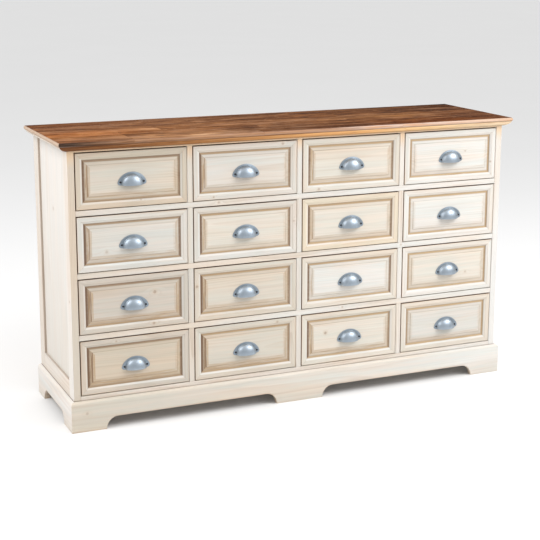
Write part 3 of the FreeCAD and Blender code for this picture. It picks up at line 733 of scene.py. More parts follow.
def cup(piece, cx, y0, cz):
    outline = pull_outline()
    n = 20
    dome = [(0.0, CUP_REACH)]
    for k in range(1, n):
        a = math.pi / 2 * (1 - k / n)
        dome.append((CUP_R * math.cos(a), CUP_REACH * math.sin(a)))
    dome = [(r, h) for r, h in dome if h > 3.4]
    dome += [(CUP_R - 0.05, 3.1), (CUP_R + 0.45, 2.2), (CUP_R + 1.35, 1.72)]
    rim = []
    ri, hi = CUP_R - CUP_WALL, CUP_REACH - CUP_WALL
    inner = [(ri, 0.0)]
    for k in range(1, n):
        a = math.pi / 2 * k / n
        inner.append((ri * math.cos(a), hi * math.sin(a)))
    inner.append((0.0, hi))
    loops = []
    # patina in the crease and inside the cup; on the flange face the darkening is painted shade
    patina_and_shade = [0.0] * (len(dome) - 3) + [0.65, 1.0, 0.85] + [0.58, 0.54, 0.5, 0.95] + [1.0] * len(inner)
    rubbed = [0.0] * (len(dome) - 1) + [0.0, 0.15, 0.5, 0.2, 0.0] + [0.0] * len(inner)

    def loop_at(j, drop, inset):
        ox, oz = outline[j]
        th = math.atan2(oz, ox)
        c, s = math.cos(th), math.sin(th)
        ro = math.hypot(ox, oz)
        pts = []
        for r, h in dome:
            pts.append(((r - (inset if r > 0 else 0)) * c, h - inset, r * s))
        for q, hh in ((0.5, FLANGE_T), (0.12, FLANGE_T - 0.2), (0.0, FLANGE_T - 0.6), (0.0, 0.0)):
            pts.append(((ro - q) * c, max(0.0, hh - (inset if hh > 0.1 else 0)), (ro - q) * s))
        for r, h in inner:
            pts.append(((r + (inset if r > 0 else 0)) * c, h + (inset if h > 0.1 else 0), r * s))
        return [(cx + x, y0 - y, cz + z + drop) for x, y, z in pts]
    last = len(outline) - 1
    loops.append([(x, y, cz) for x, y, z in loop_at(0, 0.0, 0.3)])
    for j in range(last + 1):
        loops.append(loop_at(j, 0.3, 0.0))
    loops.append([(x, y, cz) for x, y, z in loop_at(last, 0.0, 0.3)])
    co, faces, nside = loft(loops)
    smooth = [True] * nside + [False] * (len(faces) - nside)
    mask = [(a, 0.0, b) for a, b in zip(patina_and_shade, rubbed)] * len(loops)
    piece.add(co, faces, grain="xzy", smooth=smooth, mat=0, mask=mask)


def screw_head(piece, x, y, z, turn):
    n = 32
    prof = [(0.0, 2.25), (0.7, 2.22), (1.4, 2.08), (2.1, 1.75), (2.7, 1.28), (3.15, 0.72), (SCREW_HEAD_R, 0.05)]
    loops = []
    ca, sa = math.cos(turn), math.sin(turn)
    for r, h in prof:
        ring = []
        for k in range(n):
            a = 2 * math.pi * k / n
            u, v = r * math.cos(a), r * math.sin(a)
            # a cross cut in the head
            cut = 0.75 if (abs(u) < 0.42 or abs(v) < 0.42) and r < 2.4 else 0.0
            ring.append((x + u * ca - v * sa, y - (h - cut), z + u * sa + v * ca))
        loops.append(ring)
    co, faces, nside = loft(loops, caps=(False, True))
    smooth = [True] * nside + [False] * (len(faces) - nside)
    piece.add(co, faces, grain="xzy", smooth=smooth, mat=1)


# ------------------------------------------------------------ build: drawers
# finishes seen on each drawer: frame, panel, how warm the bevels are, knots
FINISH = {
    (0, 0): ("tan", "beige", 0.66), (0, 1): ("grey", "grey", 0.58), (0, 2): ("cream", "cream", 0.78), (0, 3): ("ivory", "ivory", 0.30),
    (1, 0): ("grey", "grey", 0.75), (1, 1): ("grey", "cream", 0.55), (1, 2): ("peach", "cream", 0.55), (1, 3): ("ivory", "ivory", 0.45),
    (2, 0): ("dun", "dun", 1.26), (2, 1): ("beige", "beige", 1.10), (2, 2): ("cream", "ivory", 0.55), (2, 3): ("ivory", "cream", 0.45),
    (3, 0): ("dun", "tan", 0.85), (3, 1): ("beige", "beige", 0.90), (3, 2): ("cream", "cream", 0.80), (3, 3): ("cream", "grey", 0.50),
}
# knots by drawer and part: along, across from the drawer's lower left corner, radius, strength
KNOTS = {
    (0, 1, "high"): (318, 172, 4.0, 0.8), (0, 1, "low"): (70, 9, 3.2, 0.8), (0, 2, "low"): (60, 8, 4.5, 0.7),
    (2, 0, "panel"): (255, 118, 6.0, 0.85), (2, 0, "low"): (250, 12, 4.5, 0.8), (2, 1, "left"): (120, 9, 5.0, 0.9),
    (3, 2, "panel"): (92, 108, 5.5, 0.9), (0, 3, "right"): (60, 352, 3.0, 0.7), (2, 3, "panel"): (262, 70, 4.0, 0.5),
    (0, 0, "low"): (214, 20, 3.0, 0.6), (1, 0, "panel"): (96, 62, 5.0, 0.45), (1, 1, "right"): (110, 360, 3.5, 0.6),
    (3, 0, "high"): (120, 170, 3.2, 0.6), (3, 1, "high"): (300, 170, 4.0, 0.7), (0, 3, "panel"): (245, 105, 3.4, 0.5),
}

for r in range(ROWS):
    for c in range(COLS):
        tag = "drawer_r%dc%d" % (r + 1, c + 1)
        corner = (front_x[c], Y_FACE + FRONT_SETBACK, front_z[r])
        frame_wash, panel_wash, warm = FINISH[(r, c)]
        p = Piece(tag + "_front_frame_and_panel", tag, tag + "_front", "limed_front", [M_FRONT])
        # painted shade with some brown glaze in the groove round the panel: darkest on the left side and the left of
        # the chest, lightest at the bottom and on the right
        soak_and_shade = {"left": (1.0, 0.95, 0.8, 0.45)[c], "right": (0.62, 0.58, 0.60, 0.42)[c], "high": (0.52, 0.36, 0.28, 0.16)[c],
                "low": (0.40, 0.28, 0.15, 0.05)[c]}
        soak_and_shade = {k: min(1.0, v * p.rng.uniform(0.85, 1.15)) for k, v in soak_and_shade.items()}
        for side in ("left", "right", "low", "high"):
            w0 = WASHES[frame_wash]
            k = p.rng.uniform(-0.5, 0.5)
            w1 = blend4(w0, WASHES["tan" if k < 0 else "white"], abs(k) * 0.28)
            frame_member(p, corner, side, w1, soak_and_shade[side], knot=KNOTS.get((r, c, side)), stain=p.rng.choice((0.0, 0.0, 0.06)))
        # the bevels take tan stain and painted shade: heaviest on the left and bottom bevels and on the left of the
        # chest, least on the top bevel
        j = p.rng.uniform(0.7, 1.25)
        raised_panel(p, corner, WASHES[panel_wash], [soak_and_shade[k] for k in ("low", "right", "high", "left")], knot=KNOTS.get((r, c, "panel")),
                     side_stain=(warm * j * (1.68, 1.70, 1.30, 0.80)[c], min(0.9, warm * 0.75), min(1.0, warm * j * 0.78), warm * 0.14))
        p.make()

        # drawer box: raw pine boards
        bx0, bx1 = corner[0] + BOX_CLEAR, corner[0] + FRONT_W - BOX_CLEAR
        bz0 = corner[2] - GAP_BOTTOM + BOX_LIFT
        by0 = corner[1] + FRONT_T
        b = Piece(tag + "_box_boards", tag, tag + "_box", "raw_wood", [M_RAW])
        tone = blend4(RAW["pale"], RAW["warm"], b.rng.uniform(0.0, 0.6))
        board(b, bx0, bx0 + BOX_T, by0, by0 + BOX_LEN, bz0, bz0 + BOX_H, "yzx", tone, 1.2, end_stain=0.3)
        board(b, bx1 - BOX_T, bx1, by0, by0 + BOX_LEN, bz0, bz0 + BOX_H, "yzx", blend4(tone, RAW["warm"], 0.25), 1.2, end_stain=0.3)
        board(b, bx0 + BOX_T, bx1 - BOX_T, by0, by0 + BOX_T, bz0, bz0 + BOX_H - 0.3, "xzy", blend4(tone, RAW["pale"], 0.4), 1.0)
        yb = by0 + BOX_LEN - 3.0
        board(b, bx0 + BOX_T, bx1 - BOX_T, yb - BOX_T, yb, bz0, bz0 + BOX_H - 0.3, "xzy", blend4(tone, RAW["dull"], 0.3), 1.0,
              knot=(bx0 + b.rng.uniform(60, 300), bz0 + b.rng.uniform(30, 110), b.rng.uniform(4, 8), 0.9))
        board(b, bx0 + BOX_T - 5.8, bx1 - BOX_T + 5.8, by0 + BOX_T - 5.8, yb - BOX_T + 5.8, bz0 + 8.1, bz0 + 8.0 + BOX_BOTTOM_T - 0.1,
              "xyz", RAW["pale"], 0.5)
        b.make()

        # cup pull with its two screws
        m = Piece(tag + "_cup_pull", tag, tag + "_pull", "pull_metal", [M_METAL, M_SCREW])
        px, pz = corner[0] + FRONT_W / 2, corner[2] + FRONT_H / 2 - 20.5
        py = corner[1] + FIELD_DEPTH
        cup(m, px, py, pz)
        for sx in (-1, 1):
            screw_head(m, px + sx * SCREW_X, py - FLANGE_T, pz + SCREW_Z, m.rng.uniform(0, 1.5))
        m.make(30.0)

# ------------------------------------------------------------ build: carcass
# top: planks along the length, butted end to end, with a nose on three sides
# (u in from the edge, z down from the top face, glaze and painted shade): painted shade darkens the nose's underside
# edge, above the moulding
NOSE = [(5.0, 0.0, 0.0), (3.8, 0.2, 0.0), (2.6, 0.75, 0.15), (0.95, 2.4, 0.0), (0.3, 3.7, 0.0), (0.0, 5.2, 0.0), (0.0, 7.4, 0.0),
        (0.25, 8.9, 0.0), (0.7, 10.1, 0.1), (1.3, 11.1, 0.2), (2.0, 11.95, 0.4), (2.8, 12.6, 0.7), (3.6, 13.0, 0.9)]
STRIPS = [(0, 92), (92, 186), (186, 279), (279, 371), (371, 464)]           # from the back edge forwards
# per strip: (end of the plank from the left end, stain, scuff)
PLANKS = [
    [(395, (0.82, 0.74, 0.70), 0.25), (960, (0.80, 0.80, 0.92), 0.55), (1660, (0.66, 0.62, 0.62), 0.20)],
    [(395, (0.98, 0.94, 0.94), 0.45), (560, (1.12, 1.22, 1.42), 1.00), (1110, (0.86, 0.80, 0.72), 0.40),
     (1660, (0.90, 0.88, 0.86), 0.50)],
    [(400, (1.02, 0.95, 0.98), 0.45), (1090, (1.14, 1.18, 1.16), 0.60), (1660, (1.00, 1.00, 1.00), 0.55)],
    [(245, (1.25, 1.18, 0.98), 0.35), (730, (1.12, 1.14, 1.18), 0.85), (1340, (0.80, 0.72, 0.62), 0.40),
     (1660, (0.84, 0.79, 0.76), 0.40)],
    [(245, (1.12, 1.06, 1.06), 0.45), (690, (1.20, 1.26, 1.34), 1.00), (1210, (0.84, 0.82, 0.80), 0.50),
     (1660, (0.70, 0.62, 0.54), 0.20)],
]
top = Piece("top_board_planks", "carcass", "top_board", "stained_top", [M_TOP, M_NOSE])
for s, (d0, d1) in enumerate(STRIPS):
    x_from = 0.0
    for k, (x_to, tone_here, scuff) in enumerate(PLANKS[s]):
        first, last = k == 0, k == len(PLANKS[s]) - 1
        # a plank's tone drifts towards its neighbours' at its ends, so that the butt joints stay quiet
        soft = [tuple(1.0 + (v - 1.0) * 0.72 for v in q[1]) for q in PLANKS[s]]
        tone_a = soft[k] if first else tuple((v + w) / 2 for v, w in zip(soft[k - 1], soft[k]))
        tone_b = soft[k] if last else tuple((v + w) / 2 for v, w in zip(soft[k + 1], soft[k]))
        front, rear = s == len(STRIPS) - 1, s == 0
        lx0, lx1 = -HALF_L + x_from, -HALF_L + x_to
        ly0, ly1 = DEPTH / 2 - d1, DEPTH / 2 - d0
        drop = top.rng.uniform(0.0, 0.3)
        loops, mask = [], []
        for u, z, glaze_shade in NOSE:
            inner_in = 0.95 if z == 0.0 else (0.45 if z < 0.5 else 0.08)
            back_in = 1.0 if z == 0.0 else (0.4 if z < 0.5 else 0.0)
            e = [u if first else inner_in, u if last else inner_in, u if front else inner_in, back_in if rear else inner_in]
            x0, x1, y0, y1 = lx0 + e[0], lx1 - e[1], ly0 + e[2], ly1 - e[3]
            zz = HEIGHT - z - (drop if z < 1.0 else 0.0)
            rc = {}
            for name, outer in (("a", first and front), ("b", last and front), ("c", last and rear), ("d", first and rear)):
                rc[name] = 3.5 if outer and name in "ab" else (1.2 if outer else 0.02)
            ring = []
            for name, cxx, cyy, a0 in (("a", x0, y0, 180), ("b", x1, y0, 270), ("c", x1, y1, 0), ("d", x0, y1, 90)):
                q = rc[name]
                ox = cxx + (q if name in "ad" else -q)
                oy = cyy + (q if name in "ab" else -q)
                for t in (0, 30, 60, 90):
                    a = math.radians(a0 + t)
                    ring.append((ox + q * math.cos(a), oy + q * math.sin(a), zz))
            loops.append(ring)
            joint = 0.34 if z == 0.0 else (0.75 if z < 0.5 else 0.8)
            for name in "abcd":
                for t in range(4):
                    mask.append([glaze_shade if z > 1 else joint * 0.45, 0.0, 0.0])
        # a second, inner ring on the top face keeps the joint's dark line narrow
        x0, x1, y0, y1 = [f for f in (min(q[0] for q in loops[0]), max(q[0] for q in loops[0]),
                                      min(q[1] for q in loops[0]), max(q[1] for q in loops[0]))]
        g_in = 2.2
        inner_ring = []
        for q in loops[0]:
            inner_ring.append((min(max(q[0], x0 + g_in), x1 - g_in), min(max(q[1], y0 + g_in), y1 - g_in), q[2]))
        loops.insert(0, inner_ring)
        mask = [[0.0, 0.0, 0.0]] * 16 + mask
        co, faces, nside = loft(loops)
        mats, n_ring = [], 16
        for fi, f in enumerate(faces):
            band = fi // n_ring if fi < nside else -1
            seg = fi % n_ring if fi < nside else 0
            if band < 2 and fi < nside or fi >= nside:
                mats.append(0)
            else:
                f_front = seg < 8 and front
                f_left = (seg >= 14 or seg <= 3) and first
                f_right = 4 <= seg <= 11 and last
                mats.append(1 if (f_front or f_left or f_right) else 0)
        smooth = [True] * nside + [False] * (len(faces) - nside)
        tones = []
        for q in co:
            t = min(1.0, max(0.0, (q[0] - lx0) / (lx1 - lx0)))
            tones.append((*(v + (w - v) * t for v, w in zip(tone_a, tone_b)), scuff))
        top.add(co, faces, grain="xyz", wash=tones, mask=mask, smooth=smooth, mat=mats)
        x_from = x_to
top.make(38.0)


# moulding strips
def mould_section(out):
    # (out, depth below the top, glaze and painted shade): painted shade in the crease under the top's nose and along
    # the lower edge where the moulding meets the body
    curve = [(1.0, 0.0, 0.9), (1.0, 0.6, 0.5), (0.995, 1.4, 0.1), (0.985, 2.3, 0.0), (0.957, 3.6, 0.0), (0.92, 4.9, 0.0),
             (0.865, 6.5, 0.0), (0.80, 8.2, 0.0), (0.73, 9.7, 0.0), (0.655, 11.0, 0.05), (0.57, 12.2, 0.1), (0.48, 13.2, 0.2),
             (0.40, 13.9, 0.35), (0.315, 14.4, 0.5), (0.27, 15.1, 0.5), (0.24, 16.0, 0.5)]
    return [(0.0, Z_UNDER, 0.9)] + [(out * k, Z_UNDER - d, glaze_shade) for k, d, glaze_shade in curve] + [(0.0, Z_UNDER - MOULD_H, 0.8)]


JOINT_X = X_FIRST + 3 * COL_PITCH - 10.0
mould = Piece("top_moulding_strips", "carcass", "top_moulding", "stained_moulding", [M_MOULD])
kx, ky = END_OUT / FRONT_OUT, FRONT_OUT / END_OUT
for xa, xb in ((None, JOINT_X), (JOINT_X, None)):
    loops, mask = [], []
    start = -HALF_W if xa is None else xa
    stop = HALF_W if xb is None else xb
    n = 14
    for k in range(n + 1):
        t = k / n
        loop = []
        for o, z, glaze_shade in mould_section(FRONT_OUT):
            a = start - (o * kx if xa is None else -0.12)
            b = stop + (o * kx if xb is None else -0.12)
            loop.append((a + (b - a) * t, Y_FACE - o, z))
            mask.append((glaze_shade, 0.0, 0.0))
        loops.append(loop)
    co, faces, nside = loft(loops)
    mould.add(co, faces, grain="xzy", wash=(0.5, 0.3, 0.2, 1.0), mask=mask, smooth=[True] * nside + [False] * (len(faces) - nside))
for sx in (-1, 1):
    loops, mask = [], []
    for k in range(5):
        t = k / 4
        loop = []
        for o, z, glaze_shade in mould_section(END_OUT):
            a = Y_FACE - o * ky
            loop.append((sx * (HALF_W + o), a + (Y_BACK - a) * t, z))
            mask.append((glaze_shade, 0.0, 0.0))
        loops.append(loop)
    co, faces, nside = loft(loops)
    mould.add(co, faces, grain="yzx", wash=(0.5, 0.3, 0.2, 1.0), mask=mask, smooth=[True] * nside + [False] * (len(faces) - nside))
mould.make(50.0)

# sides
Z_TOPRAIL = Z_LAST + 3 * ROW_PITCH + FRONT_H + GAP_TOP
for sx, label in ((-1, "left"), (1, "right")):
    s = Piece(label + "_side_frame_and_panel", "carcass", label + "_side", "limed_wood", [M_SIDE, M_RAW])

    def span(a, b):
        return (a, b) if a < b else (b, a)

    xo, xi = sx * HALF_W, sx * (HALF_W - POST_T)
    ya, yb = Y_FACE + POST_D, Y_BACK - POST_D
    side_wash = (0.790, 0.765, 0.738, 0.98)
    # the left post's front is tan and the right one's near white: partly the wash, partly painted light
    post_wash = blend4(WASHES["beige"], WASHES["tan"], 0.30) if sx < 0 else blend4(WASHES["ivory"], WASHES["white"], 0.80)
    x0, x1 = span(xo, xi)

    def post_tone(x, y, z, front=post_wash, flank=side_wash, outer=xo):
        return flank if abs(x - outer) < 0.5 else front
    co, faces = chamfered(x0, x1, Y_FACE, ya, PLINTH_H, Z_UNDER, 1.3)
    s.add(co, faces, grain="zyx", wash=post_tone, mask=[(0.0, 0.0, 0.35)] * len(co),
          knot=(PLINTH_H + 330, Y_FACE + 20, 3.5, 0.7))
    # painted shade on the back stile's inner edge, beside the recessed panel
    co, faces = chamfered(x0, x1, yb, Y_BACK - 10.0, PLINTH_H, Z_UNDER, 1.3)
    s.add(co, faces, grain="zyx", wash=blend4(side_wash, WASHES["beige"], 0.42),
          mask=lambda x, y, z: (0.46 if y < yb + 0.05 and z > PLINTH_H + SIDE_RAIL_H - 60.0 else 0.0, 0.0, 0.3))
    # the stile's tongue behind the rebate for the back boards
    q0, q1 = span(xo, sx * (HALF_W - POST_T + 12.0))
    board(s, q0, q1, Y_BACK - 10.0, Y_BACK, PLINTH_H, Z_UNDER, "zyx", blend4(side_wash, WASHES["beige"], 0.35), 1.0, wear=0.3)
    # painted shade on the rail's top face below the panel and along its foot above the plinth; a light stain along its
    # foot
    co, faces = chamfered(x0, x1, ya, yb, PLINTH_H, PLINTH_H + SIDE_RAIL_H, 1.2)
    s.add(co, faces, grain="yzx", wash=blend4(side_wash, WASHES["beige"], 0.15),
          mask=lambda x, y, z: (0.45 if z > PLINTH_H + SIDE_RAIL_H - 0.05 else (0.4 if z < PLINTH_H + 0.05 else 0.0),
                                0.25 if z < PLINTH_H + 2.0 else 0.0, 0.35))
    board(s, x0, x1, ya, yb, Z_TOPRAIL, Z_UNDER, "yzx", side_wash, 0.8)
    p0, p1 = span(sx * (HALF_W - PANEL_RECESS), sx * (HALF_W - PANEL_RECESS - PANEL_T))
    # the panel is three boards edge to edge
    cuts = [ya - 7.5, ya + 92.0, ya + 214.0, yb + 7.5]
    for k in range(3):
        base = blend4(side_wash, WASHES[("white", "pink", "beige")[k]], (0.15, 0.15, 0.06)[k])

        # painted shade: the panel boards darken towards the bottom
        def tone(x, y, z, base=base):
            return blend4(base, WASHES["beige"], 0.55 if z < 300.0 else 0.0)
        board(s, p0, p1, cuts[k], cuts[k + 1] - 0.05, PLINTH_H + SIDE_RAIL_H - 7.5, Z_TOPRAIL + 7.5, "zyx", tone, 0.35,
              knot=(700.0, ya + 168.0, 7.0, 0.42) if k == 1 else None)
    # painted shade where the panel meets the frame is in the stile's and rail's masks above
    s.make()

# face frame
f = Piece("face_frame_rails_and_dividers", "carcass", "face_frame", "limed_wood", [M_LIMED])
inner = HALF_W - POST_T
for r in range(ROWS):
    zr0 = front_z[r] + FRONT_H + GAP_TOP
    zr1 = Z_UNDER if r == 0 else front_z[r - 1] - GAP_BOTTOM

    # the rails whiten towards the right: partly the wash, partly painted light
    def rail_tone(x, y, z, r=r):
        t = (x + HALF_W) / BODY_W
        return blend4(blend4(WASHES["beige"], WASHES["grey"], 0.6), WASHES["white"], min(1.0, 0.15 + 0.85 * t))
    co, faces = chamfered(-inner, inner, Y_FACE, Y_FACE + RAIL_D, zr0, zr1, 1.1)
    f.add(co, faces, grain="xzy", wash=rail_tone, mask=[(0.04, 0.0, 0.3)] * len(co),
          knot=(f.rng.uniform(-600, 600), (zr0 + zr1) / 2 + 2, 3.5, 0.6) if r else None)
    for c in range(COLS - 1):
        xd0 = front_x[c] + FRONT_W + GAP_RIGHT
        xd1 = front_x[c + 1] - GAP_LEFT
        zd0 = front_z[r] - GAP_BOTTOM
        # the dividers whiten towards the right: partly the wash, partly painted light
        t = c / 2
        tone = blend4(blend4(WASHES["grey"], WASHES["beige"], 0.25), WASHES["white"], 0.15 + 0.75 * t)
        co, faces = chamfered(xd0, xd1, Y_FACE + 0.15, Y_FACE + RAIL_D, zd0, zr0, 1.1)
        # painted light: the dividers' left-facing walls in the gaps are near white, with no glaze or wear
        f.add(co, faces, grain="zxy", wash=lambda x, y, z: (0.90, 0.88, 0.84, 1.0) if x < xd0 + 0.05 else tone,
              mask=lambda x, y, z: (0.0 if x < xd0 + 0.05 else 0.04, 0.0, 0.0 if x < xd0 + 0.05 else 0.3))
f.make()

# hidden uprights and runners, bottom board, back boards
y_in0, y_in1 = Y_FACE + RAIL_D, Y_BACK - BACK_T
u = Piece("partition_boards", "carcass", "partitions", "raw_wood", [M_RAW])
for c in range(COLS - 1):
    xd0 = front_x[c] + FRONT_W + GAP_RIGHT
    board(u, xd0, front_x[c + 1] - GAP_LEFT, y_in0, y_in1, PLINTH_H + BOTTOM_T, Z_UNDER, "zyx", RAW["warm"], 0.8)
u.make()
u = Piece("runner_strips", "carcass", "drawer_runners", "raw_wood", [M_RAW])
for r in range(ROWS - 1):
    z_hi, z_lo = front_z[r] - GAP_BOTTOM, front_z[r + 1] + FRONT_H + GAP_TOP
    for c in range(COLS):
        xa, xb = front_x[c] - GAP_LEFT, front_x[c] + FRONT_W + GAP_RIGHT
        for x0, x1 in ((xa, xa + 18.0), (xb - 18.0, xb)):
            board(u, x0, x1, y_in0, y_in1 - 12.0, z_lo, z_hi, "yzx", blend4(RAW["pale"], RAW["warm"], u.rng.random()), 0.8)
u.make()
u = Piece("bottom_board_plank", "carcass", "bottom_board", "limed_wood", [M_LIMED, M_RAW])


# the bottom board whitens towards the right: partly the wash, partly painted light
def bottom_tone(x, y, z):
    t = (x + HALF_W) / BODY_W
    return blend4(blend4(WASHES["pink"], WASHES["beige"], 0.35), WASHES["white"], 0.1 + 0.7 * t)


co, faces = chamfered(-inner, inner, Y_FACE, Y_BACK - BACK_T, PLINTH_H, PLINTH_H + BOTTOM_T, 1.0)
u.add(co, faces, grain="xyz", wash=bottom_tone, mask=[(0.03, 0.0, 0.3)] * len(co))
u.make()
u = Piece("back_board_planks", "carcass", "back_boards", "raw_wood", [M_RAW])
bx = inner + 12.0 - 0.5
bw = 2.0 * bx / BACK_BOARDS
for i in range(BACK_BOARDS):
    x0, x1 = -bx + i * bw, -bx + (i + 1) * bw
    tone = blend4(RAW["pale"], RAW["warm"], u.rng.uniform(0, 0.9))
    knot = (u.rng.uniform(180, 850), (x0 + x1) / 2 + u.rng.uniform(-25, 25), u.rng.uniform(6, 12), 0.95)
    board(u, x0, x1 - 0.06, Y_BACK - BACK_T, Y_BACK, PLINTH_H, Z_UNDER, "zxy", tone, 2.2, knot=knot)
u.make()


# plinth boards: a section that follows the arch, swept along the board
def arch_stations(a0, a1, n=12):
    pts = []
    for k in range(0, n + 1):
        t = math.pi / 2 * k / n
        pts.append((a0 + ARCH_R * (1 - math.cos(t)), ARCH_H * math.sin(t)))
    for k in range(n, -1, -1):
        t = math.pi / 2 * k / n
        pts.append((a1 - ARCH_R * (1 - math.cos(t)), ARCH_H * math.sin(t)))
    return pts


def plinth_section(z_low):
    # (t in from the outer face, z, glaze and painted shade, stain, wear): painted shade darkens the plinth's top where
    # it meets the body
    e = 1.2
    cut = 0.75 if z_low > 0.5 else 0.6
    pts = [(PLINTH_T - 0.5, z_low, 0.0, cut, 0.0), (e, z_low, 0.0, cut, 0.0), (e * 0.3, z_low + e * 0.35, 0.05, 0.35, 0.5),
           (0.0, z_low + e, 0.0, 0.10, 0.5), (0.0, z_low + 6.0, 0.0, 0.0, 0.1),
           (0.0, max(z_low + 8.0, 60.0), 0.0, 0.0, 0.0), (0.0, PLINTH_H - PLINTH_ROUND - 0.5, 0.0, 0.0, 0.0)]
    for k in range(0, 9):
        a = math.pi / 2 * k / 8
        pts.append((PLINTH_ROUND * (1 - math.cos(a)), PLINTH_H - PLINTH_ROUND * (1 - math.sin(a)), 0.0, 0.0, 0.15 if 1 < k < 6 else 0.0))
    pts += [(PLINTH_PROUD - 1.6, PLINTH_H, 0.35, 0.0, 0.0), (PLINTH_PROUD + 0.5, PLINTH_H, 1.0, 0.0, 0.0),
            (PLINTH_T, PLINTH_H, 0.3, 0.0, 0.0), (PLINTH_T, z_low + 0.5, 0.1, 0.2, 0.0)]
    return pts


def plinth_board(piece, stations, place, grain, wash, knot=None, foot_tan=None):
    loops, mask, n = [], [], None
    for a, z_low in stations:
        loop = []
        for t, z, glaze_shade, st, wr in plinth_section(z_low):
            loop.append(place(a, t, z))
            mask.append((glaze_shade, st, wr))
        loops.append(loop)
    co, faces, nside = loft(loops)
    smooth = [True] * nside + [False] * (len(faces) - nside)
    fs = [0.0] * nside + [0.55] * (len(faces) - nside)
    piece.add(co, faces, grain=grain, wash=wash, mask=mask, smooth=smooth, knot=knot, face_stain=fs)


PX, PY = HALF_W + PLINTH_PROUD, Y_FACE - PLINTH_PROUD
stations = [(-1, 0.0)]
for x in (-PX + 30, -PX + 60, -PX + 90):
    stations.append((x, 0.0))
stations += arch_stations(-PX + FOOT_W, -CENTRE_FOOT_W / 2)
for x in (-55.0, 0.0, 55.0):
    stations.append((x, 0.0))
stations += arch_stations(CENTRE_FOOT_W / 2, PX - FOOT_W)
for x in (PX - 90, PX - 60, PX - 30):
    stations.append((x, 0.0))
stations.append((1, 0.0))
stations[0], stations[-1] = ("start", 0.0), ("end", 0.0)


def place_front(a, t, z):
    x = -PX + t if a == "start" else (PX - t if a == "end" else a)
    return (x, PY + t, z)


# whiter towards the right, partly the wash and partly painted light; tan towards the lower edge
def plinth_tone(x, y, z):
    t = (x + PX) / (2 * PX)
    base = blend4(blend4(WASHES["beige"], WASHES["tan"], 0.25), WASHES["ivory"], min(1.0, 1.15 * t))
    return blend4(base, WASHES["tan"], max(0.0, (40.0 - z) / 40.0) * 0.30)


pf = Piece("plinth_front_board", "carcass", "plinth_front", "limed_wood", [M_LIMED])
plinth_board(pf, stations, place_front, "xzy", plinth_tone, knot=(-PX + 52.0, 62.0, 5.0, 0.55))
pf.make(35.0)


def end_tone(x, y, z):
    return blend4(blend4(WASHES["pink"], WASHES["white"], 0.35), WASHES["tan"], max(0.0, (52.0 - z) / 52.0) * 0.45)


pe = Piece("plinth_end_boards", "carcass", "plinth_ends", "limed_wood", [M_LIMED])
for sx in (-1, 1):
    st = [("start", 0.0), (PY + 45, 0.0), (PY + 75, 0.0)] + arch_stations(PY + SIDE_FOOT_FRONT, Y_BACK - SIDE_FOOT_BACK) + \
        [(Y_BACK - 40, 0.0), (Y_BACK - 1.0, 0.0), (Y_BACK, 0.0)]

    def place_end(a, t, z, sx=sx):
        y = PY + t if a == "start" else a
        return (sx * (PX - t), y, z)
    plinth_board(pe, st, place_end, "yzx", end_tone)
pe.make(35.0)

ix, iy = PX - PLINTH_T, PY + PLINTH_T
u = Piece("plinth_blocks_and_rail", "carcass", "plinth_bracing", "raw_wood", [M_RAW])
board(u, -ix, ix, Y_BACK - PLINTH_T, Y_BACK, ARCH_H, PLINTH_H, "xzy", RAW["warm"], 1.0, end_stain=0.4)
for sx in (-1, 1):
    xa, xb = sorted((sx * ix, sx * (ix - 40.0)))
    board(u, xa, xb, iy, iy + 40.0, 2.0, PLINTH_H, "zxy", RAW["dull"], 1.5, end_stain=0.4)
    board(u, xa, xb, Y_BACK - PLINTH_T - 40.0, Y_BACK - PLINTH_T, ARCH_H + 4.0, PLINTH_H, "zxy", RAW["dull"], 1.5, end_stain=0.4)
board(u, -30.0, 30.0, iy, iy + 40.0, 2.0, PLINTH_H, "zxy", RAW["dull"], 1.5, end_stain=0.4)
u.make()

# ------------------------------------------------------------------- stage
stage_mat = Graph("pale_floor")
cloud = stage_mat.noise(stage_mat.place(), 0.8, 2.0, 0.5)
stage_mat.finish(stage_mat.mix(cloud, (0.80, 0.80, 0.80), (0.82, 0.82, 0.82)), 0.9, specular=0.1)
stage_mat.shader.inputs["Emission Color"].default_value = (1.0, 1.0, 1.0, 1.0)
stage_mat.shader.inputs["Emission Strength"].default_value = 0.02
floor_mesh = bpy.data.meshes.new("floor")
R, n = 60.0, 64
ring = [(R * math.cos(2 * math.pi * k / n), R * math.sin(2 * math.pi * k / n), 0.0) for k in range(n)]
floor_mesh.from_pydata(ring, [], [tuple(range(n))])
floor_mesh.materials.append(stage_mat.material)
floor = bpy.data.objects.new("floor", floor_mesh)
bpy.context.scene.collection.objects.link(floor)

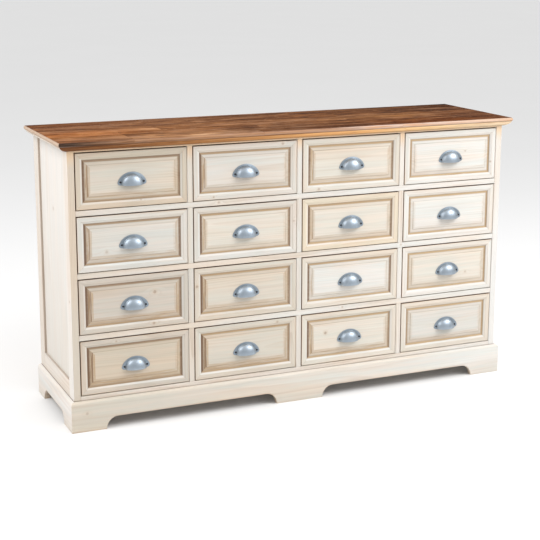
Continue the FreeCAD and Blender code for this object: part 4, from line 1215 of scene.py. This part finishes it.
world = bpy.data.worlds.new("studio")
world.use_nodes = True
wt = world.node_tree
back = wt.nodes["Background"]
back.inputs[1].default_value = 1.0
w_dir = wt.nodes.new("ShaderNodeTexCoord")
w_sep = wt.nodes.new("ShaderNodeSeparateXYZ")
w_ramp = wt.nodes.new("ShaderNodeValToRGB")
wt.links.new(w_dir.outputs["Generated"], w_sep.inputs[0])
wt.links.new(w_sep.outputs[2], w_ramp.inputs[0])
wt.links.new(w_ramp.outputs[0], back.inputs[0])
# a pale room that grows brighter overhead
for k, (pos, level) in enumerate(((0.0, 0.42), (1.0, 1.14))):
    w_ramp.color_ramp.elements[k].position = pos
    w_ramp.color_ramp.elements[k].color = (level, level, level, 1.0)
bpy.context.scene.world = world


def softbox(name, at, aim, size_x, size_y, power, colour=(1, 1, 1)):
    light = bpy.data.lights.new(name, "AREA")
    light.shape = "RECTANGLE"
    light.size, light.size_y, light.energy, light.color = size_x, size_y, power, colour
    ob = bpy.data.objects.new(name, light)
    bpy.context.scene.collection.objects.link(ob)
    ob.location = at
    ob.rotation_euler = (Vector(aim) - Vector(at)).to_track_quat("-Z", "Y").to_euler()
    return ob


softbox("key_left", (-3.2, -0.5, 3.3), (-0.4, 0.0, 0.6), 2.2, 2.2, 84.0)
softbox("key_right", (2.3, -2.1, 2.8), (0.5, -0.2, 0.6), 2.2, 1.7, 88.0)

# ------------------------------------------------------------------ camera
cam_data = bpy.data.cameras.new("camera")
cam_data.sensor_width = 36.0
cam_data.lens = 1285.504 * 36.0 / 540.0
cam_data.shift_y = -0.08
cam_data.dof.use_dof = False
cam_data.clip_end = 200.0
cam = bpy.data.objects.new("camera", cam_data)
bpy.context.scene.collection.objects.link(cam)


def turn(axis, degrees):
    return Matrix.Rotation(math.radians(degrees), 3, axis)


swap = Matrix(((1, 0, 0), (0, 0, -1), (0, 1, 0)))
rot = turn("Z", 0.124) @ turn("X", 12.067) @ swap @ turn("Z", 23.676)
right, down, ahead = rot[0], rot[1], rot[2]
world_m = Matrix.Identity(4)
for k in range(3):
    world_m[k][0], world_m[k][1], world_m[k][2] = right[k], -down[k], -ahead[k]
world_m.translation = Vector((-1.804599, -4.074794, 1.527058))
cam.matrix_world = world_m
bpy.context.scene.camera = cam
bpy.context.scene.view_settings.view_transform = "Standard"
bpy.context.scene.view_settings.look = "None"
